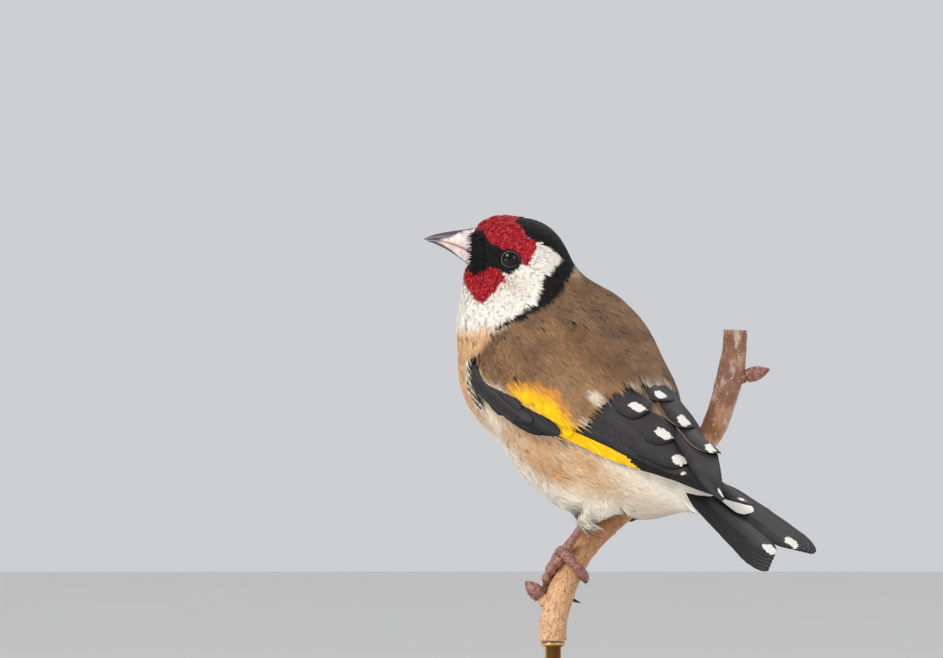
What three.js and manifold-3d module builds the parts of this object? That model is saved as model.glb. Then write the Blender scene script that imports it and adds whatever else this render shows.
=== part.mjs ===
// A European goldfinch perched on a cut twig, life size, on a plain display stand.
// Lengths are in millimetres and the whole model is +Z up, with its origin under the middle of the base.
// The bird is drawn in its own coordinates, written (forward, left, up) from the middle of its body.

import * as THREE from 'three';
import { mergeVertices } from 'three/addons/utils/BufferGeometryUtils.js';
import Module from 'manifold-3d';

const wasm = await Module();
wasm.setup();

// Places in the model
const BODY_CENTRE = new THREE.Vector3(-2.26, 2.26, 89.4);
const GAP = 0.3;

// Head: its middle, and the turn to the bird's own left
const HEAD_CENTRE = new THREE.Vector3(18.9, 7.6, 30.5);
const HEAD_TURN = THREE.MathUtils.degToRad(45);
const HEAD_SLIMNESS = 1.1;
const HEAD_DETAIL = 7;
const NECK_DETAIL = 5;
const TORSO_DETAIL = 8;
const THIGH_DETAIL = 4;

// Eye and lids
const EYE_RADIUS = 2.5;
const EYE_PLACE = { forward: 0.3, up: 1.6 };
const EYE_BULGE = 0.85;
const LID_THICKNESS = 0.45;
const LID_OPENING = { long: 2.0, high: 1.75 };

// Bill, in the head's own coordinates
const BILL_TIP = 18.7;
const LOWER_TIP = 18;
const BILL_BASE = 5.2;
const BILL_HALF_WIDTH = 3.6;
const NOSTRIL_RADIUS = 0.45;
const BILL_CLEARANCE = 0.4;

// Wing map: an axis down the back, and heights over the plumage
const BACK_START = new THREE.Vector3(22, 0, 8);
const BACK_END = new THREE.Vector3(-46, 0, -21);
const WING_CLEARANCE = 0.4;
const RUN_CLEARANCE = 0.55;
const ARM_CLEARANCE = 0.75;
const VANE_THICKNESS = 0.55;
const FEATHER_SMOOTHNESS = 0.12;

// Tail
const TAIL_ROOT = new THREE.Vector3(-17.5, 0, -9);
const TAIL_SLOPE = THREE.MathUtils.degToRad(29.9);
const TAIL_ROLL = THREE.MathUtils.degToRad(19);
const TAIL_PARTING = 10.5;

// Perch and stand
const PERCH_ROUTE = [
  { at: [2.9, 11.3, -48.9], radius: 2.95 },
  { at: [2.9, 11.3, -46.4], radius: 2.95 },
  { at: [3.0, 10.6, -43.2], radius: 2.95 },
  { at: [2.5, 8.9, -38.1], radius: 2.85 },
  { at: [1.1, 6.7, -32.8], radius: 2.65 },
  { at: [0.6, 2.7, -28.1], radius: 2.6 },
  { at: [1.2, -4.2, -24.0], radius: 2.55 },
  { at: [1.8, -13.8, -18.5], radius: 2.5 },
  { at: [0.4, -20.8, -13.2], radius: 2.5 },
  { at: [-2.0, -26.0, -8.9], radius: 2.55 },
  { at: [-4.1, -29.6, -5.1], radius: 2.6 },
  { at: [-5.2, -32.1, 1.1], radius: 2.7 },
  { at: [-5.7, -34.0, 7.4], radius: 2.8 },
  { at: [-6.0, -35.0, 12.8], radius: 2.6 },
  { at: [-6.1, -35.2, 17.0], radius: 2.5 },
];
const PERCH_SIDES = 10;
const PERCH_STEPS = 24;
const ROD_RADIUS = 1.8;
const BASE_RADIUS = 44;
const BASE_HEIGHT = 11;
const BASE_SIDES = 28;

// Colours
const COLOURS = {
  plumage: 0xa98460,
  face: 0xb01c20,
  flight: 0x1d1d20,
  bill: 0xe0c8b8,
  eye: 0x120d0b,
  leg: 0x96685a,
  claw: 0x2a2422,
  bark: 0xa8743f,
  bud: 0x7c4a3a,
  metal: 0xa08248,
  base: 0x4a3020,
};

// Directions of the head, the back and the tail
const UP = new THREE.Vector3(0, 0, 1);
const HEAD_FORWARD = new THREE.Vector3(Math.cos(HEAD_TURN), Math.sin(HEAD_TURN), 0);
const HEAD_LEFT = new THREE.Vector3(-Math.sin(HEAD_TURN), Math.cos(HEAD_TURN), 0);
const BACK = BACK_END.clone().sub(BACK_START).normalize();
const DORSAL = new THREE.Vector3(0, 1, 0).cross(BACK);
const TAIL_BACK = new THREE.Vector3(-Math.cos(TAIL_SLOPE), 0, -Math.sin(TAIL_SLOPE));
const TAIL_UP = new THREE.Vector3(-Math.sin(TAIL_SLOPE), 0, Math.cos(TAIL_SLOPE));
TAIL_UP.applyAxisAngle(TAIL_BACK, TAIL_ROLL);
const TAIL_LEFT = TAIL_BACK.clone().cross(TAIL_UP);

// A place on the head, from its own forward, left and up
function onHead(forward, left, up) {
  return HEAD_CENTRE.clone()
    .addScaledVector(HEAD_FORWARD, forward)
    .addScaledVector(HEAD_LEFT, left)
    .addScaledVector(UP, up);
}

function ball(centre, radius) {
  return { centre, radius };
}

// The flesh and small feathers are round cones between named balls
const BALLS = {
  cranium: ball(onHead(-2.5, 0, 0.2), 9.6),
  forehead: ball(onHead(1.8, 0, 2.7), 7.9),
  face: ball(onHead(3.4, 0, 0.6), 4.9),
  nape: ball(onHead(-4.0, 0, -3.6), 9.3),
  chin: ball(onHead(3.3, 0, -5.4), 6.6),
  throat: ball(onHead(1.3, 0, -12), 9.8),
  neck: ball(new THREE.Vector3(16.2, 1.2, 17), 13.2),
  breast: ball(new THREE.Vector3(16.2, 0, 9.8), 18),
  mantle: ball(new THREE.Vector3(9.2, 0, 6.6), 16.2),
  belly: ball(new THREE.Vector3(4.6, 0, -3.2), 15.9),
  vent: ball(new THREE.Vector3(-14, 0, -12.3), 10.4),
  undertail: ball(new THREE.Vector3(-29.5, 0, -20.5), 2.6),
  rump: ball(new THREE.Vector3(-16.5, 0, -8.5), 8),
  tailroot: ball(new THREE.Vector3(-31, 0, -16.6), 2.6),
};
const HEAD_LINKS = [
  ['cranium', 'forehead'],
  ['forehead', 'face'],
  ['cranium', 'nape'],
  ['cranium', 'chin'],
  ['chin', 'throat'],
];
const NECK_LINKS = [
  ['nape', 'neck'],
  ['throat', 'neck'],
];
const BODY_LINKS = [
  ['neck', 'breast'],
  ['breast', 'belly'],
  ['mantle', 'belly'],
  ['belly', 'vent'],
  ['mantle', 'rump'],
  ['rump', 'tailroot'],
  ['vent', 'undertail'],
  ['undertail', 'tailroot'],
];
const THIGHS = {
  left: [
    ball(new THREE.Vector3(2, 9, -8), 6),
    ball(new THREE.Vector3(-7.5, 7.3, -19), 3.4),
    ball(new THREE.Vector3(-4, 8.2, -23.2), 1.9),
  ],
  right: [
    ball(new THREE.Vector3(1, -8.5, -7), 5.5),
    ball(new THREE.Vector3(-5.5, -9.4, -11.6), 3.4),
    ball(new THREE.Vector3(-1.2, -12.2, -13), 2.2),
  ],
};

// Distance from a point to a cone with round ends
const toPoint = new THREE.Vector3();
const axis = new THREE.Vector3();
const across = new THREE.Vector3();
function roundCone(point, from, to) {
  axis.subVectors(to.centre, from.centre);
  toPoint.subVectors(point, from.centre);
  const lengthSquared = axis.lengthSq();
  const taper = from.radius - to.radius;
  const slant = lengthSquared - taper * taper;
  if (slant <= 0) {
    return Math.min(toPoint.length() - from.radius, point.distanceTo(to.centre) - to.radius);
  }
  const along = toPoint.dot(axis);
  const beyond = along - lengthSquared;
  across.copy(toPoint).multiplyScalar(lengthSquared).addScaledVector(axis, -along);
  const acrossSquared = across.lengthSq();
  const alongSquared = along * along * lengthSquared;
  const beyondSquared = beyond * beyond * lengthSquared;
  const limit = Math.sign(taper) * taper * taper * acrossSquared;
  if (Math.sign(beyond) * slant * beyondSquared > limit) {
    return Math.sqrt(acrossSquared + beyondSquared) / lengthSquared - to.radius;
  }
  if (Math.sign(along) * slant * alongSquared < limit) {
    return Math.sqrt(acrossSquared + alongSquared) / lengthSquared - from.radius;
  }
  return (Math.sqrt((acrossSquared * slant) / lengthSquared) + along * taper) / lengthSquared - from.radius;
}

// The lesser of two distances, with a fillet where they are alike
function blend(a, b, fillet) {
  const share = Math.max(fillet - Math.abs(a - b), 0) / fillet;
  return Math.min(a, b) - share * share * fillet * 0.25;
}

function linked(point, links, fillet) {
  let distance = Infinity;
  for (const [from, to] of links) {
    const next = roundCone(point, BALLS[from], BALLS[to]);
    distance = distance === Infinity ? next : blend(distance, next, fillet);
  }
  return distance;
}

// The head is a little slimmer than its balls
const slimmed = new THREE.Vector3();
function headField(point) {
  slimmed.subVectors(point, HEAD_CENTRE);
  const left = slimmed.dot(HEAD_LEFT);
  slimmed.copy(point).addScaledVector(HEAD_LEFT, left * (HEAD_SLIMNESS - 1));
  return linked(slimmed, HEAD_LINKS, 1.6);
}

// Distance from a point to the surface of the whole bird without thighs, wings and tail
function bodyField(point) {
  const headAndNeck = blend(headField(point), linked(point, NECK_LINKS, 1.6), 2.5);
  return blend(headAndNeck, linked(point, BODY_LINKS, 3), 3);
}

function thighField(point, side) {
  const [hip, heel, cuff] = THIGHS[side];
  return blend(roundCone(point, hip, heel), roundCone(point, heel, cuff), 1);
}

// The folded wings lie on the plumage, and past the rump on an imaginary roof over the tail
const ROOF = [
  ball(new THREE.Vector3(-20, 0, -10.5), 4.8),
  ball(new THREE.Vector3(-46, 0, -22.6), 2.2),
];
const ROOF_BREADTH = 0.6;
const flattened = new THREE.Vector3();
function seatField(point) {
  flattened.set(point.x, point.y * ROOF_BREADTH, point.z);
  return blend(bodyField(point), roundCone(flattened, ...ROOF), 3);
}

const probe = new THREE.Vector3();
function slope(field, point) {
  const step = 0.05;
  const rise = (x, y, z) => field(probe.copy(point).add({ x, y, z }));
  return new THREE.Vector3(
    rise(step, 0, 0) - rise(-step, 0, 0),
    rise(0, step, 0) - rise(0, -step, 0),
    rise(0, 0, step) - rise(0, 0, -step),
  ).divideScalar(2 * step);
}

// Moves a point along the field's slope until it lies at the height over the surface
function settle(field, point, height) {
  for (let round = 0; round < 3; round += 1) {
    const gradient = slope(field, point);
    const miss = height - field(point);
    point.addScaledVector(gradient, miss / Math.max(gradient.lengthSq(), 0.2));
  }
  return point;
}

// A closed geometry from points and triangles, turned so that its faces point out
function closedGeometry(points, triangles) {
  const positions = new Float32Array(points.flatMap(({ x, y, z }) => [x, y, z]));
  let volume = 0;
  for (const [a, b, c] of triangles) {
    volume += points[a].dot(probe.crossVectors(points[b], points[c]));
  }
  const outward = volume > 0 ? triangles : triangles.map(([a, b, c]) => [a, c, b]);
  const geometry = new THREE.BufferGeometry();
  geometry.setAttribute('position', new THREE.BufferAttribute(positions, 3));
  geometry.setIndex(outward.flat());
  return geometry;
}

// A field's surface seen from an axis inside it: a fine icosahedron stretched along the axis and pushed out
const FIELD_REACH = 12;
function fieldGeometry(field, from, to, detail) {
  const middle = from.clone().lerp(to, 0.5);
  const along = to.clone().sub(from);
  const half = along.length() / 2;
  along.normalize();
  const geometry = new THREE.IcosahedronGeometry(1, detail);
  const positions = geometry.attributes.position;
  const direction = new THREE.Vector3();
  for (let index = 0; index < positions.count; index += 1) {
    direction.fromBufferAttribute(positions, index).normalize();
    const rise = direction.dot(along);
    const origin = middle.clone().addScaledVector(along, THREE.MathUtils.clamp(rise * half, -half, half));
    const ray = direction.multiplyScalar(FIELD_REACH).addScaledVector(along, rise * half);
    ray.add(middle).sub(origin).normalize();
    const { x, y, z } = onRay(field, origin, ray, 0);
    positions.setXYZ(index, x, y, z);
  }
  return geometry;
}

// The first point on a ray where the field reaches a height
const RAY_LENGTH = 40;
const RAY_ROUNDS = 26;
function onRay(field, origin, ray, height) {
  let near = 0;
  let far = RAY_LENGTH;
  const point = new THREE.Vector3();
  for (let round = 0; round < RAY_ROUNDS; round += 1) {
    const middle = (near + far) / 2;
    if (field(point.copy(origin).addScaledVector(ray, middle)) < height) {
      near = middle;
    } else {
      far = middle;
    }
  }
  return origin.clone().addScaledVector(ray, near);
}

// A closed round tube through points, with a radius at each
const RING_START = new THREE.Vector3(0.3, 0.2, 1);
function tubeGeometry(route, radii, sides) {
  const points = [];
  const triangles = [];
  const normal = new THREE.Vector3();
  route.forEach((centre, index) => {
    const before = route[Math.max(index - 1, 0)];
    const after = route[Math.min(index + 1, route.length - 1)];
    const tangent = after.clone().sub(before).normalize();
    if (index === 0) {
      normal.copy(RING_START);
    }
    normal.addScaledVector(tangent, -normal.dot(tangent)).normalize();
    const binormal = tangent.clone().cross(normal);
    for (let side = 0; side < sides; side += 1) {
      const angle = (side / sides) * 2 * Math.PI;
      points.push(
        centre.clone()
          .addScaledVector(normal, radii[index] * Math.cos(angle))
          .addScaledVector(binormal, radii[index] * Math.sin(angle)),
      );
    }
  });
  for (let ring = 0; ring < route.length - 1; ring += 1) {
    for (let side = 0; side < sides; side += 1) {
      const a = ring * sides + side;
      const b = ring * sides + ((side + 1) % sides);
      triangles.push([a, b, b + sides], [a, b + sides, a + sides]);
    }
  }
  addFan(points, triangles, 0, sides, route[0], true);
  addFan(points, triangles, (route.length - 1) * sides, sides, route[route.length - 1], false);
  return closedGeometry(points, triangles);
}

// Closes a ring of points with triangles to a middle point
function addFan(points, triangles, first, sides, middle, backwards) {
  const hub = points.length;
  points.push(middle.clone());
  for (let side = 0; side < sides; side += 1) {
    const a = first + side;
    const b = first + ((side + 1) % sides);
    triangles.push(backwards ? [hub, b, a] : [hub, a, b]);
  }
}

// A closed slab between two grids of points that match one to one
function slabGeometry(top, bottom) {
  const rows = top.length;
  const columns = top[0].length;
  const points = [...top.flat(), ...bottom.flat()];
  const topAt = (row, column) => row * columns + column;
  const bottomAt = (row, column) => rows * columns + topAt(row, column);
  const triangles = [];
  for (let row = 0; row < rows - 1; row += 1) {
    for (let column = 0; column < columns - 1; column += 1) {
      for (const [at, flip] of [[topAt, false], [bottomAt, true]]) {
        const a = at(row, column);
        const b = at(row, column + 1);
        const c = at(row + 1, column + 1);
        const d = at(row + 1, column);
        triangles.push(flip ? [a, c, b] : [a, b, c], flip ? [a, d, c] : [a, c, d]);
      }
    }
  }
  const acrossColumns = Array.from({ length: columns - 1 }, (_, column) => column);
  const downRows = Array.from({ length: rows - 1 }, (_, row) => row);
  const rim = [
    ...acrossColumns.map((column) => [0, column]),
    ...downRows.map((row) => [row, columns - 1]),
    ...acrossColumns.map((column) => [rows - 1, columns - 1 - column]),
    ...downRows.map((row) => [rows - 1 - row, 0]),
  ];
  rim.forEach((from, index) => {
    const to = rim[(index + 1) % rim.length];
    const [upper, lower] = [topAt(...from), bottomAt(...from)];
    triangles.push([upper, lower, bottomAt(...to)], [upper, bottomAt(...to), topAt(...to)]);
  });
  return closedGeometry(points, triangles);
}

// Solids for joining and cutting
function toSolid(geometry) {
  const bare = geometry.clone();
  bare.deleteAttribute('normal');
  bare.deleteAttribute('uv');
  const merged = mergeVertices(bare, 1e-4);
  return new wasm.Manifold(new wasm.Mesh({
    numProp: 3,
    vertProperties: new Float32Array(merged.attributes.position.array),
    triVerts: new Uint32Array(merged.index.array),
  }));
}

function toGeometry(solid) {
  const { vertProperties, triVerts, numProp } = solid.getMesh();
  const geometry = new THREE.BufferGeometry();
  const count = vertProperties.length / numProp;
  const positions = new Float32Array(count * 3);
  for (let vertex = 0; vertex < count; vertex += 1) {
    positions.set(vertProperties.slice(vertex * numProp, vertex * numProp + 3), vertex * 3);
  }
  geometry.setAttribute('position', new THREE.BufferAttribute(positions, 3));
  geometry.setIndex(Array.from(triVerts));
  return geometry;
}

// Joins solids and keeps the largest closed surface of the result
function join(solids, smoothness) {
  return largest(solids.reduce((whole, next) => whole.add(next)), smoothness);
}

function largest(solid, smoothness = 0.03) {
  const pieces = solid.simplify(smoothness).decompose();
  return pieces.reduce((best, next) => (next.volume() > best.volume() ? next : best));
}

// A large block whose near face is the plane through a point, on the side that the normal shows
function halfSpace(point, normal) {
  const side = 200;
  const block = new THREE.BoxGeometry(side, side, side);
  block.translate(0, 0, side / 2);
  block.applyQuaternion(new THREE.Quaternion().setFromUnitVectors(UP, normal));
  block.translate(point.x, point.y, point.z);
  return toSolid(block);
}

function sphereSolid(centre, radius, detail) {
  const sphere = new THREE.SphereGeometry(radius, detail, Math.round(detail / 2));
  sphere.applyQuaternion(new THREE.Quaternion().setFromUnitVectors(new THREE.Vector3(0, 1, 0), HEAD_LEFT));
  sphere.translate(centre.x, centre.y, centre.z);
  return toSolid(sphere);
}

// Where the head parts from the neck, the neck from the torso and the torso from the tail
function cutThrough(point, normal) {
  return { point: new THREE.Vector3(...point), normal: new THREE.Vector3(...normal).normalize() };
}

const HEAD_CUT = cutThrough([17.6, 4.8, 22.8], [0.18, 0.42, 0.89]);
const NECK_CUT = cutThrough([16, 0.8, 15.5], [0.25, 0.25, 0.93]);
const TAIL_CUT = cutThrough(TAIL_ROOT.clone().addScaledVector(TAIL_BACK, TAIL_PARTING), TAIL_BACK);

// What lies past a cut, kept half a gap clear of it
function beyondCut(cut) {
  return halfSpace(cut.point.clone().addScaledVector(cut.normal, GAP / 2), cut.normal);
}

function beforeCut(cut) {
  return halfSpace(cut.point.clone().addScaledVector(cut.normal, -GAP / 2), cut.normal.clone().negate());
}

// The bill's profile in the head's coordinates: ridge, mouth line and lower edge at each place forward
const BILL_LINES = {
  ridge: [[5.2, 8.1], [6.2, 8], [9.5, 7.75], [12.8, 7.2], [16, 6.55], [18.7, 5.95]],
  mouth: [[5.2, 1.2], [7.9, 2.25], [9.8, 3.65], [11.9, 4.85], [14.9, 5.55], [18.7, 5.75]],
  keel: [[5.2, -1.6], [8.1, 0.05], [10.9, 1.7], [14.1, 3.85], [16.6, 5.1], [18, 5.5]],
};

function onLine(line, forward) {
  const last = line.length - 1;
  const next = forward >= line[last][0] ? last : Math.max(line.findIndex(([f]) => f >= forward), 1);
  const [f0, u0] = line[next - 1];
  const [f1, u1] = line[next];
  return u0 + ((u1 - u0) * (forward - f0)) / (f1 - f0);
}

function billHalfWidth(forward) {
  const share = (forward - BILL_BASE) / (BILL_TIP - BILL_BASE);
  return BILL_HALF_WIDTH * Math.max(1 - share, 0) ** 0.86 + 0.16;
}

// One half of the bill as a loft, wider by the margin on every side
function mandible(upper, margin) {
  const length = upper ? BILL_TIP : LOWER_TIP;
  const stations = 11;
  const sides = 12;
  const points = [];
  const triangles = [];
  for (let station = 0; station < stations; station += 1) {
    const share = station / (stations - 1);
    const clamped = BILL_BASE + share * (length - BILL_BASE);
    const forward = clamped + (share === 0 ? -margin : 0) + (share === 1 ? margin : 0);
    const mouth = onLine(BILL_LINES.mouth, clamped) + (upper ? GAP / 2 : -GAP / 2);
    const outer = onLine(upper ? BILL_LINES.ridge : BILL_LINES.keel, clamped);
    const height = upper ? Math.max(outer - mouth, 0.18) : Math.min(outer - mouth, -0.18);
    const halfWidth = billHalfWidth(clamped) * (upper ? 1 : 0.9) + margin;
    for (let side = 0; side < sides; side += 1) {
      const angle = (side / sides) * 2 * Math.PI;
      const left = halfWidth * Math.cos(angle);
      const rise = Math.sin(angle);
      const arched = rise > 0.01;
      const outward = Math.sign(height) * margin;
      const up = arched ? mouth + height * rise + outward : mouth - outward - height * 0.02 * rise;
      points.push(onHead(forward, arched ? left : left * 0.96, up));
    }
  }
  for (let ring = 0; ring < stations - 1; ring += 1) {
    for (let side = 0; side < sides; side += 1) {
      const a = ring * sides + side;
      const b = ring * sides + ((side + 1) % sides);
      triangles.push([a, b, b + sides], [a, b + sides, a + sides]);
    }
  }
  const ringMiddle = (first) => points
    .slice(first, first + sides)
    .reduce((sum, point) => sum.add(point), new THREE.Vector3())
    .divideScalar(sides);
  addFan(points, triangles, 0, sides, ringMiddle(0), true);
  addFan(points, triangles, (stations - 1) * sides, sides, ringMiddle((stations - 1) * sides), false);
  return toSolid(closedGeometry(points, triangles));
}

// Eyes: the middle of each ball, set in from the side of the face
function eyeCentre(side) {
  const place = onHead(EYE_PLACE.forward, side * 6, EYE_PLACE.up);
  let left = 6;
  while (bodyField(place) < 0) {
    left += 0.02;
    place.copy(onHead(EYE_PLACE.forward, side * left, EYE_PLACE.up));
  }
  return onHead(EYE_PLACE.forward, side * (left + EYE_BULGE - EYE_RADIUS), EYE_PLACE.up);
}

function lidSolid(side) {
  const centre = eyeCentre(side);
  const shell = sphereSolid(centre, EYE_RADIUS + GAP + LID_THICKNESS, 16);
  const opening = new THREE.CylinderGeometry(1, 1, 2 * EYE_RADIUS, 18);
  opening.translate(0, EYE_RADIUS * 1.5, 0);
  opening.scale(LID_OPENING.long, 1, LID_OPENING.high);
  const turn = new THREE.Matrix4().makeBasis(
    HEAD_FORWARD.clone().multiplyScalar(side),
    HEAD_LEFT.clone().multiplyScalar(side),
    UP,
  );
  opening.applyMatrix4(turn);
  opening.translate(centre.x, centre.y, centre.z);
  return { shell, opening: toSolid(opening), centre };
}

// How far a point lies past a cut, on the side that its normal shows
function pastCut(point, cut) {
  return point.dot(cut.normal) - cut.point.dot(cut.normal);
}

// The forms run this far past their cuts before they are cut
const OVERRUN = 3;

function buildHead() {
  const field = (point) => Math.max(bodyField(point), -pastCut(point, HEAD_CUT) - OVERRUN);
  const whole = toSolid(fieldGeometry(field, onHead(-2.5, 0, 1), onHead(1, 0, -3), HEAD_DETAIL));
  let head = whole.intersect(beyondCut(HEAD_CUT));
  for (const side of [1, -1]) {
    const { shell, opening, centre } = lidSolid(side);
    const socket = sphereSolid(centre, EYE_RADIUS + GAP + 0.08, 16);
    head = head.add(shell).subtract(opening).subtract(socket);
  }
  for (const upper of [true, false]) {
    head = head.subtract(mandible(upper, BILL_CLEARANCE));
  }
  return largest(head);
}

function buildUpperBill() {
  let bill = mandible(true, 0);
  for (const side of [1, -1]) {
    bill = bill.subtract(sphereSolid(onHead(9.3, side * 2.0, 6.9), NOSTRIL_RADIUS, 10));
  }
  return largest(bill);
}

function buildNeck() {
  const field = (point) => Math.max(
    bodyField(point),
    pastCut(point, HEAD_CUT) - OVERRUN,
    -pastCut(point, NECK_CUT) - OVERRUN,
  );
  const middle = new THREE.Vector3(16, 2, 19);
  const whole = toSolid(fieldGeometry(field, middle, middle, NECK_DETAIL));
  return largest(whole.intersect(beforeCut(HEAD_CUT)).intersect(beyondCut(NECK_CUT)));
}

// The torso and the root of the tail, grown by the margin
function buildTrunk(margin) {
  const field = (point) => Math.max(bodyField(point) - margin, pastCut(point, NECK_CUT) - OVERRUN);
  const front = new THREE.Vector3(17, 0, 5);
  const rear = new THREE.Vector3(-27, 0, -16);
  return toSolid(fieldGeometry(field, front, rear, TORSO_DETAIL));
}

// The feathered thigh stands out of the torso and ends in a flat cuff
function buildThigh(side, trunkShell) {
  const { cuff, direction } = shank(side);
  const [hip, heel] = THIGHS[side];
  const field = (point) => thighField(point, side);
  const whole = toSolid(fieldGeometry(field, hip.centre, heel.centre, THIGH_DETAIL));
  return largest(whole.intersect(halfSpace(cuff, direction.clone().negate())).subtract(trunkShell));
}

// The bare leg leaves its feathers at the cuff and runs straight to the foot
function shank(side) {
  const [, heel, end] = THIGHS[side];
  const foot = footPlace(side);
  const direction = foot.clone().sub(heel.centre).normalize();
  const cuff = end.centre.clone();
  return { cuff, direction, foot };
}

// The perch's centre line, with its radius and the directions round it at any length along it
const perchPoints = PERCH_ROUTE.map(({ at }) => new THREE.Vector3(...at));
const perchCurve = new THREE.CatmullRomCurve3(perchPoints, false, 'centripetal');
const PERCH_LENGTH = perchCurve.getLength();

function perchAt(length) {
  const share = THREE.MathUtils.clamp(length / PERCH_LENGTH, 0, 1);
  const centre = perchCurve.getPointAt(share);
  const tangent = perchCurve.getTangentAt(share);
  const spot = perchCurve.getUtoTmapping(share) * (PERCH_ROUTE.length - 1);
  const index = Math.min(Math.floor(spot), PERCH_ROUTE.length - 2);
  const radius = THREE.MathUtils.lerp(PERCH_ROUTE[index].radius, PERCH_ROUTE[index + 1].radius, spot - index);
  const forward = new THREE.Vector3(1, 0, 0).addScaledVector(tangent, -tangent.x).normalize();
  const top = tangent.clone().cross(forward);
  return { centre, tangent, radius, forward, top };
}

// A place round the perch: the angle is 0 on top and grows towards the bird's front
function roundPerch(length, degrees, height) {
  const { centre, radius, forward, top } = perchAt(length);
  const angle = THREE.MathUtils.degToRad(degrees);
  return centre
    .addScaledVector(top, (radius + height) * Math.cos(angle))
    .addScaledVector(forward, (radius + height) * Math.sin(angle));
}

// The length along the perch that lies nearest to a point
function nearestOnPerch(point) {
  let best = { length: 0, distance: Infinity };
  for (let length = 0; length <= PERCH_LENGTH; length += 0.1) {
    const distance = perchCurve.getPointAt(length / PERCH_LENGTH).distanceTo(point);
    if (distance < best.distance) {
      best = { length, distance };
    }
  }
  return best.length;
}

const SHANK_RADIUS = 0.95;
const TOE_RADIUS = 1;
const CLAW_GAP = 0.45;
const TOE_KNUCKLES = 3.5;
const TOE_KNUCKLE_RISE = 0.13;
const FEET = {
  left: nearestOnPerch(new THREE.Vector3(1.3, 7.3, -33.3)),
  right: nearestOnPerch(new THREE.Vector3(1.5, -16, -16.6)),
};

function footPlace(side) {
  return roundPerch(FEET[side], 12, SHANK_RADIUS + GAP);
}

// Each toe winds round the perch from the foot: its shift along the perch and its angle, from root to end
const TOES = [
  { name: 'inner', shift: [1.2, 1.8], angle: [20, 122], claw: 46 },
  { name: 'middle', shift: [0.6, -6.2], angle: [14, 150], claw: 72 },
  { name: 'outer', shift: [0, -6.6], angle: [6, 88], claw: 50 },
  { name: 'hind', shift: [1.2, -1.2], angle: [4, -128], claw: -58 },
];

function toeRoute(side, toe) {
  const joints = 7;
  const route = [];
  const radii = [];
  for (let joint = 0; joint < joints; joint += 1) {
    const share = joint / (joints - 1);
    const knuckle = Math.sin(share * TOE_KNUCKLES * Math.PI) ** 2;
    const radius = TOE_RADIUS * (1.02 - 0.3 * share) + TOE_KNUCKLE_RISE * knuckle;
    const shift = THREE.MathUtils.lerp(...toe.shift, share ** 0.8);
    const angle = THREE.MathUtils.lerp(...toe.angle, share);
    route.push(roundPerch(FEET[side] + shift, angle, radius + GAP));
    radii.push(radius);
  }
  const end = route[joints - 1];
  route.push(end.clone().add(end.clone().sub(route[joints - 2]).setLength(0.35)));
  radii.push(radii[joints - 1] * 0.55);
  return { route, radii };
}

// The bare leg and its toes, wider by the margin on every side
function legSolids(side, margin) {
  const { cuff, direction, foot } = shank(side);
  const start = cuff.clone().addScaledVector(direction, GAP - margin);
  const route = [start, start.clone().lerp(foot, 0.35), start.clone().lerp(foot, 0.75), foot.clone()];
  const bend = roundPerch(FEET[side] - 0.6, 20, SHANK_RADIUS + GAP);
  route.push(bend);
  const radii = [SHANK_RADIUS, SHANK_RADIUS * 0.92, SHANK_RADIUS * 0.95, SHANK_RADIUS * 1.15, SHANK_RADIUS];
  const pieces = [grownTube(route, radii, 7, margin)];
  for (const toe of TOES) {
    const { route: toeLine, radii: toeRadii } = toeRoute(side, toe);
    pieces.push(grownTube([foot.clone(), ...toeLine], [0.5, ...toeRadii], 6, margin));
  }
  return join(pieces);
}

// A tube that is wider and longer by the margin
function grownTube(route, radii, sides, margin) {
  const last = route.length - 1;
  const grown = route.map((point) => point.clone());
  grown[0].add(route[0].clone().sub(route[1]).setLength(margin));
  grown[last].add(route[last].clone().sub(route[last - 1]).setLength(margin));
  return toSolid(tubeGeometry(grown, radii.map((radius) => radius + margin), sides));
}

// The claw goes on from the end of its toe and bends round the perch, with its tip a little lifted
function buildClaw(side, toe) {
  const { route } = toeRoute(side, toe);
  const end = route[route.length - 1];
  const direction = end.clone().sub(route[route.length - 2]).normalize();
  const line = [CLAW_GAP, CLAW_GAP + 0.6].map((distance) => end.clone().addScaledVector(direction, distance));
  const wound = 4;
  for (let step = 1; step <= wound; step += 1) {
    const share = step / wound;
    const angle = toe.angle[1] + toe.claw * (0.4 + 0.6 * share);
    line.push(roundPerch(FEET[side] + toe.shift[1] - 0.5 * share, angle, 0.9 + 0.9 * share ** 2));
  }
  const radii = line.map((_, index) => 0.56 * (1 - index / (line.length - 1)) ** 0.8 + 0.1);
  return toSolid(tubeGeometry(line, radii, 6));
}

function perchTube(margin) {
  const route = [];
  const radii = [];
  for (let step = 0; step <= PERCH_STEPS; step += 1) {
    const length = (step / PERCH_STEPS) * PERCH_LENGTH;
    const { centre, radius } = perchAt(length);
    route.push(centre);
    radii.push(radius * (1 + 0.03 * Math.sin(length * 0.9)) + margin);
  }
  return toSolid(tubeGeometry(route, radii, PERCH_SIDES));
}

// Buds: each sits on a collar of the perch and points its own way
const BUDS = [
  { seat: [5, 11.5, -40.6], toward: [0.5, 0.5, 0.7], reach: 1.4, size: 4.6, radius: 1.5 },
  { seat: [-7.6, -35.9, 6.8], toward: [-0.67, -0.67, 0.3], reach: 0.9, size: 5.2, radius: 1.4 },
];
const BUD_PROFILE = [[0, 0.95], [0.25, 1.1], [0.5, 1.02], [0.75, 0.7], [0.92, 0.34], [1, 0.1]];

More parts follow.
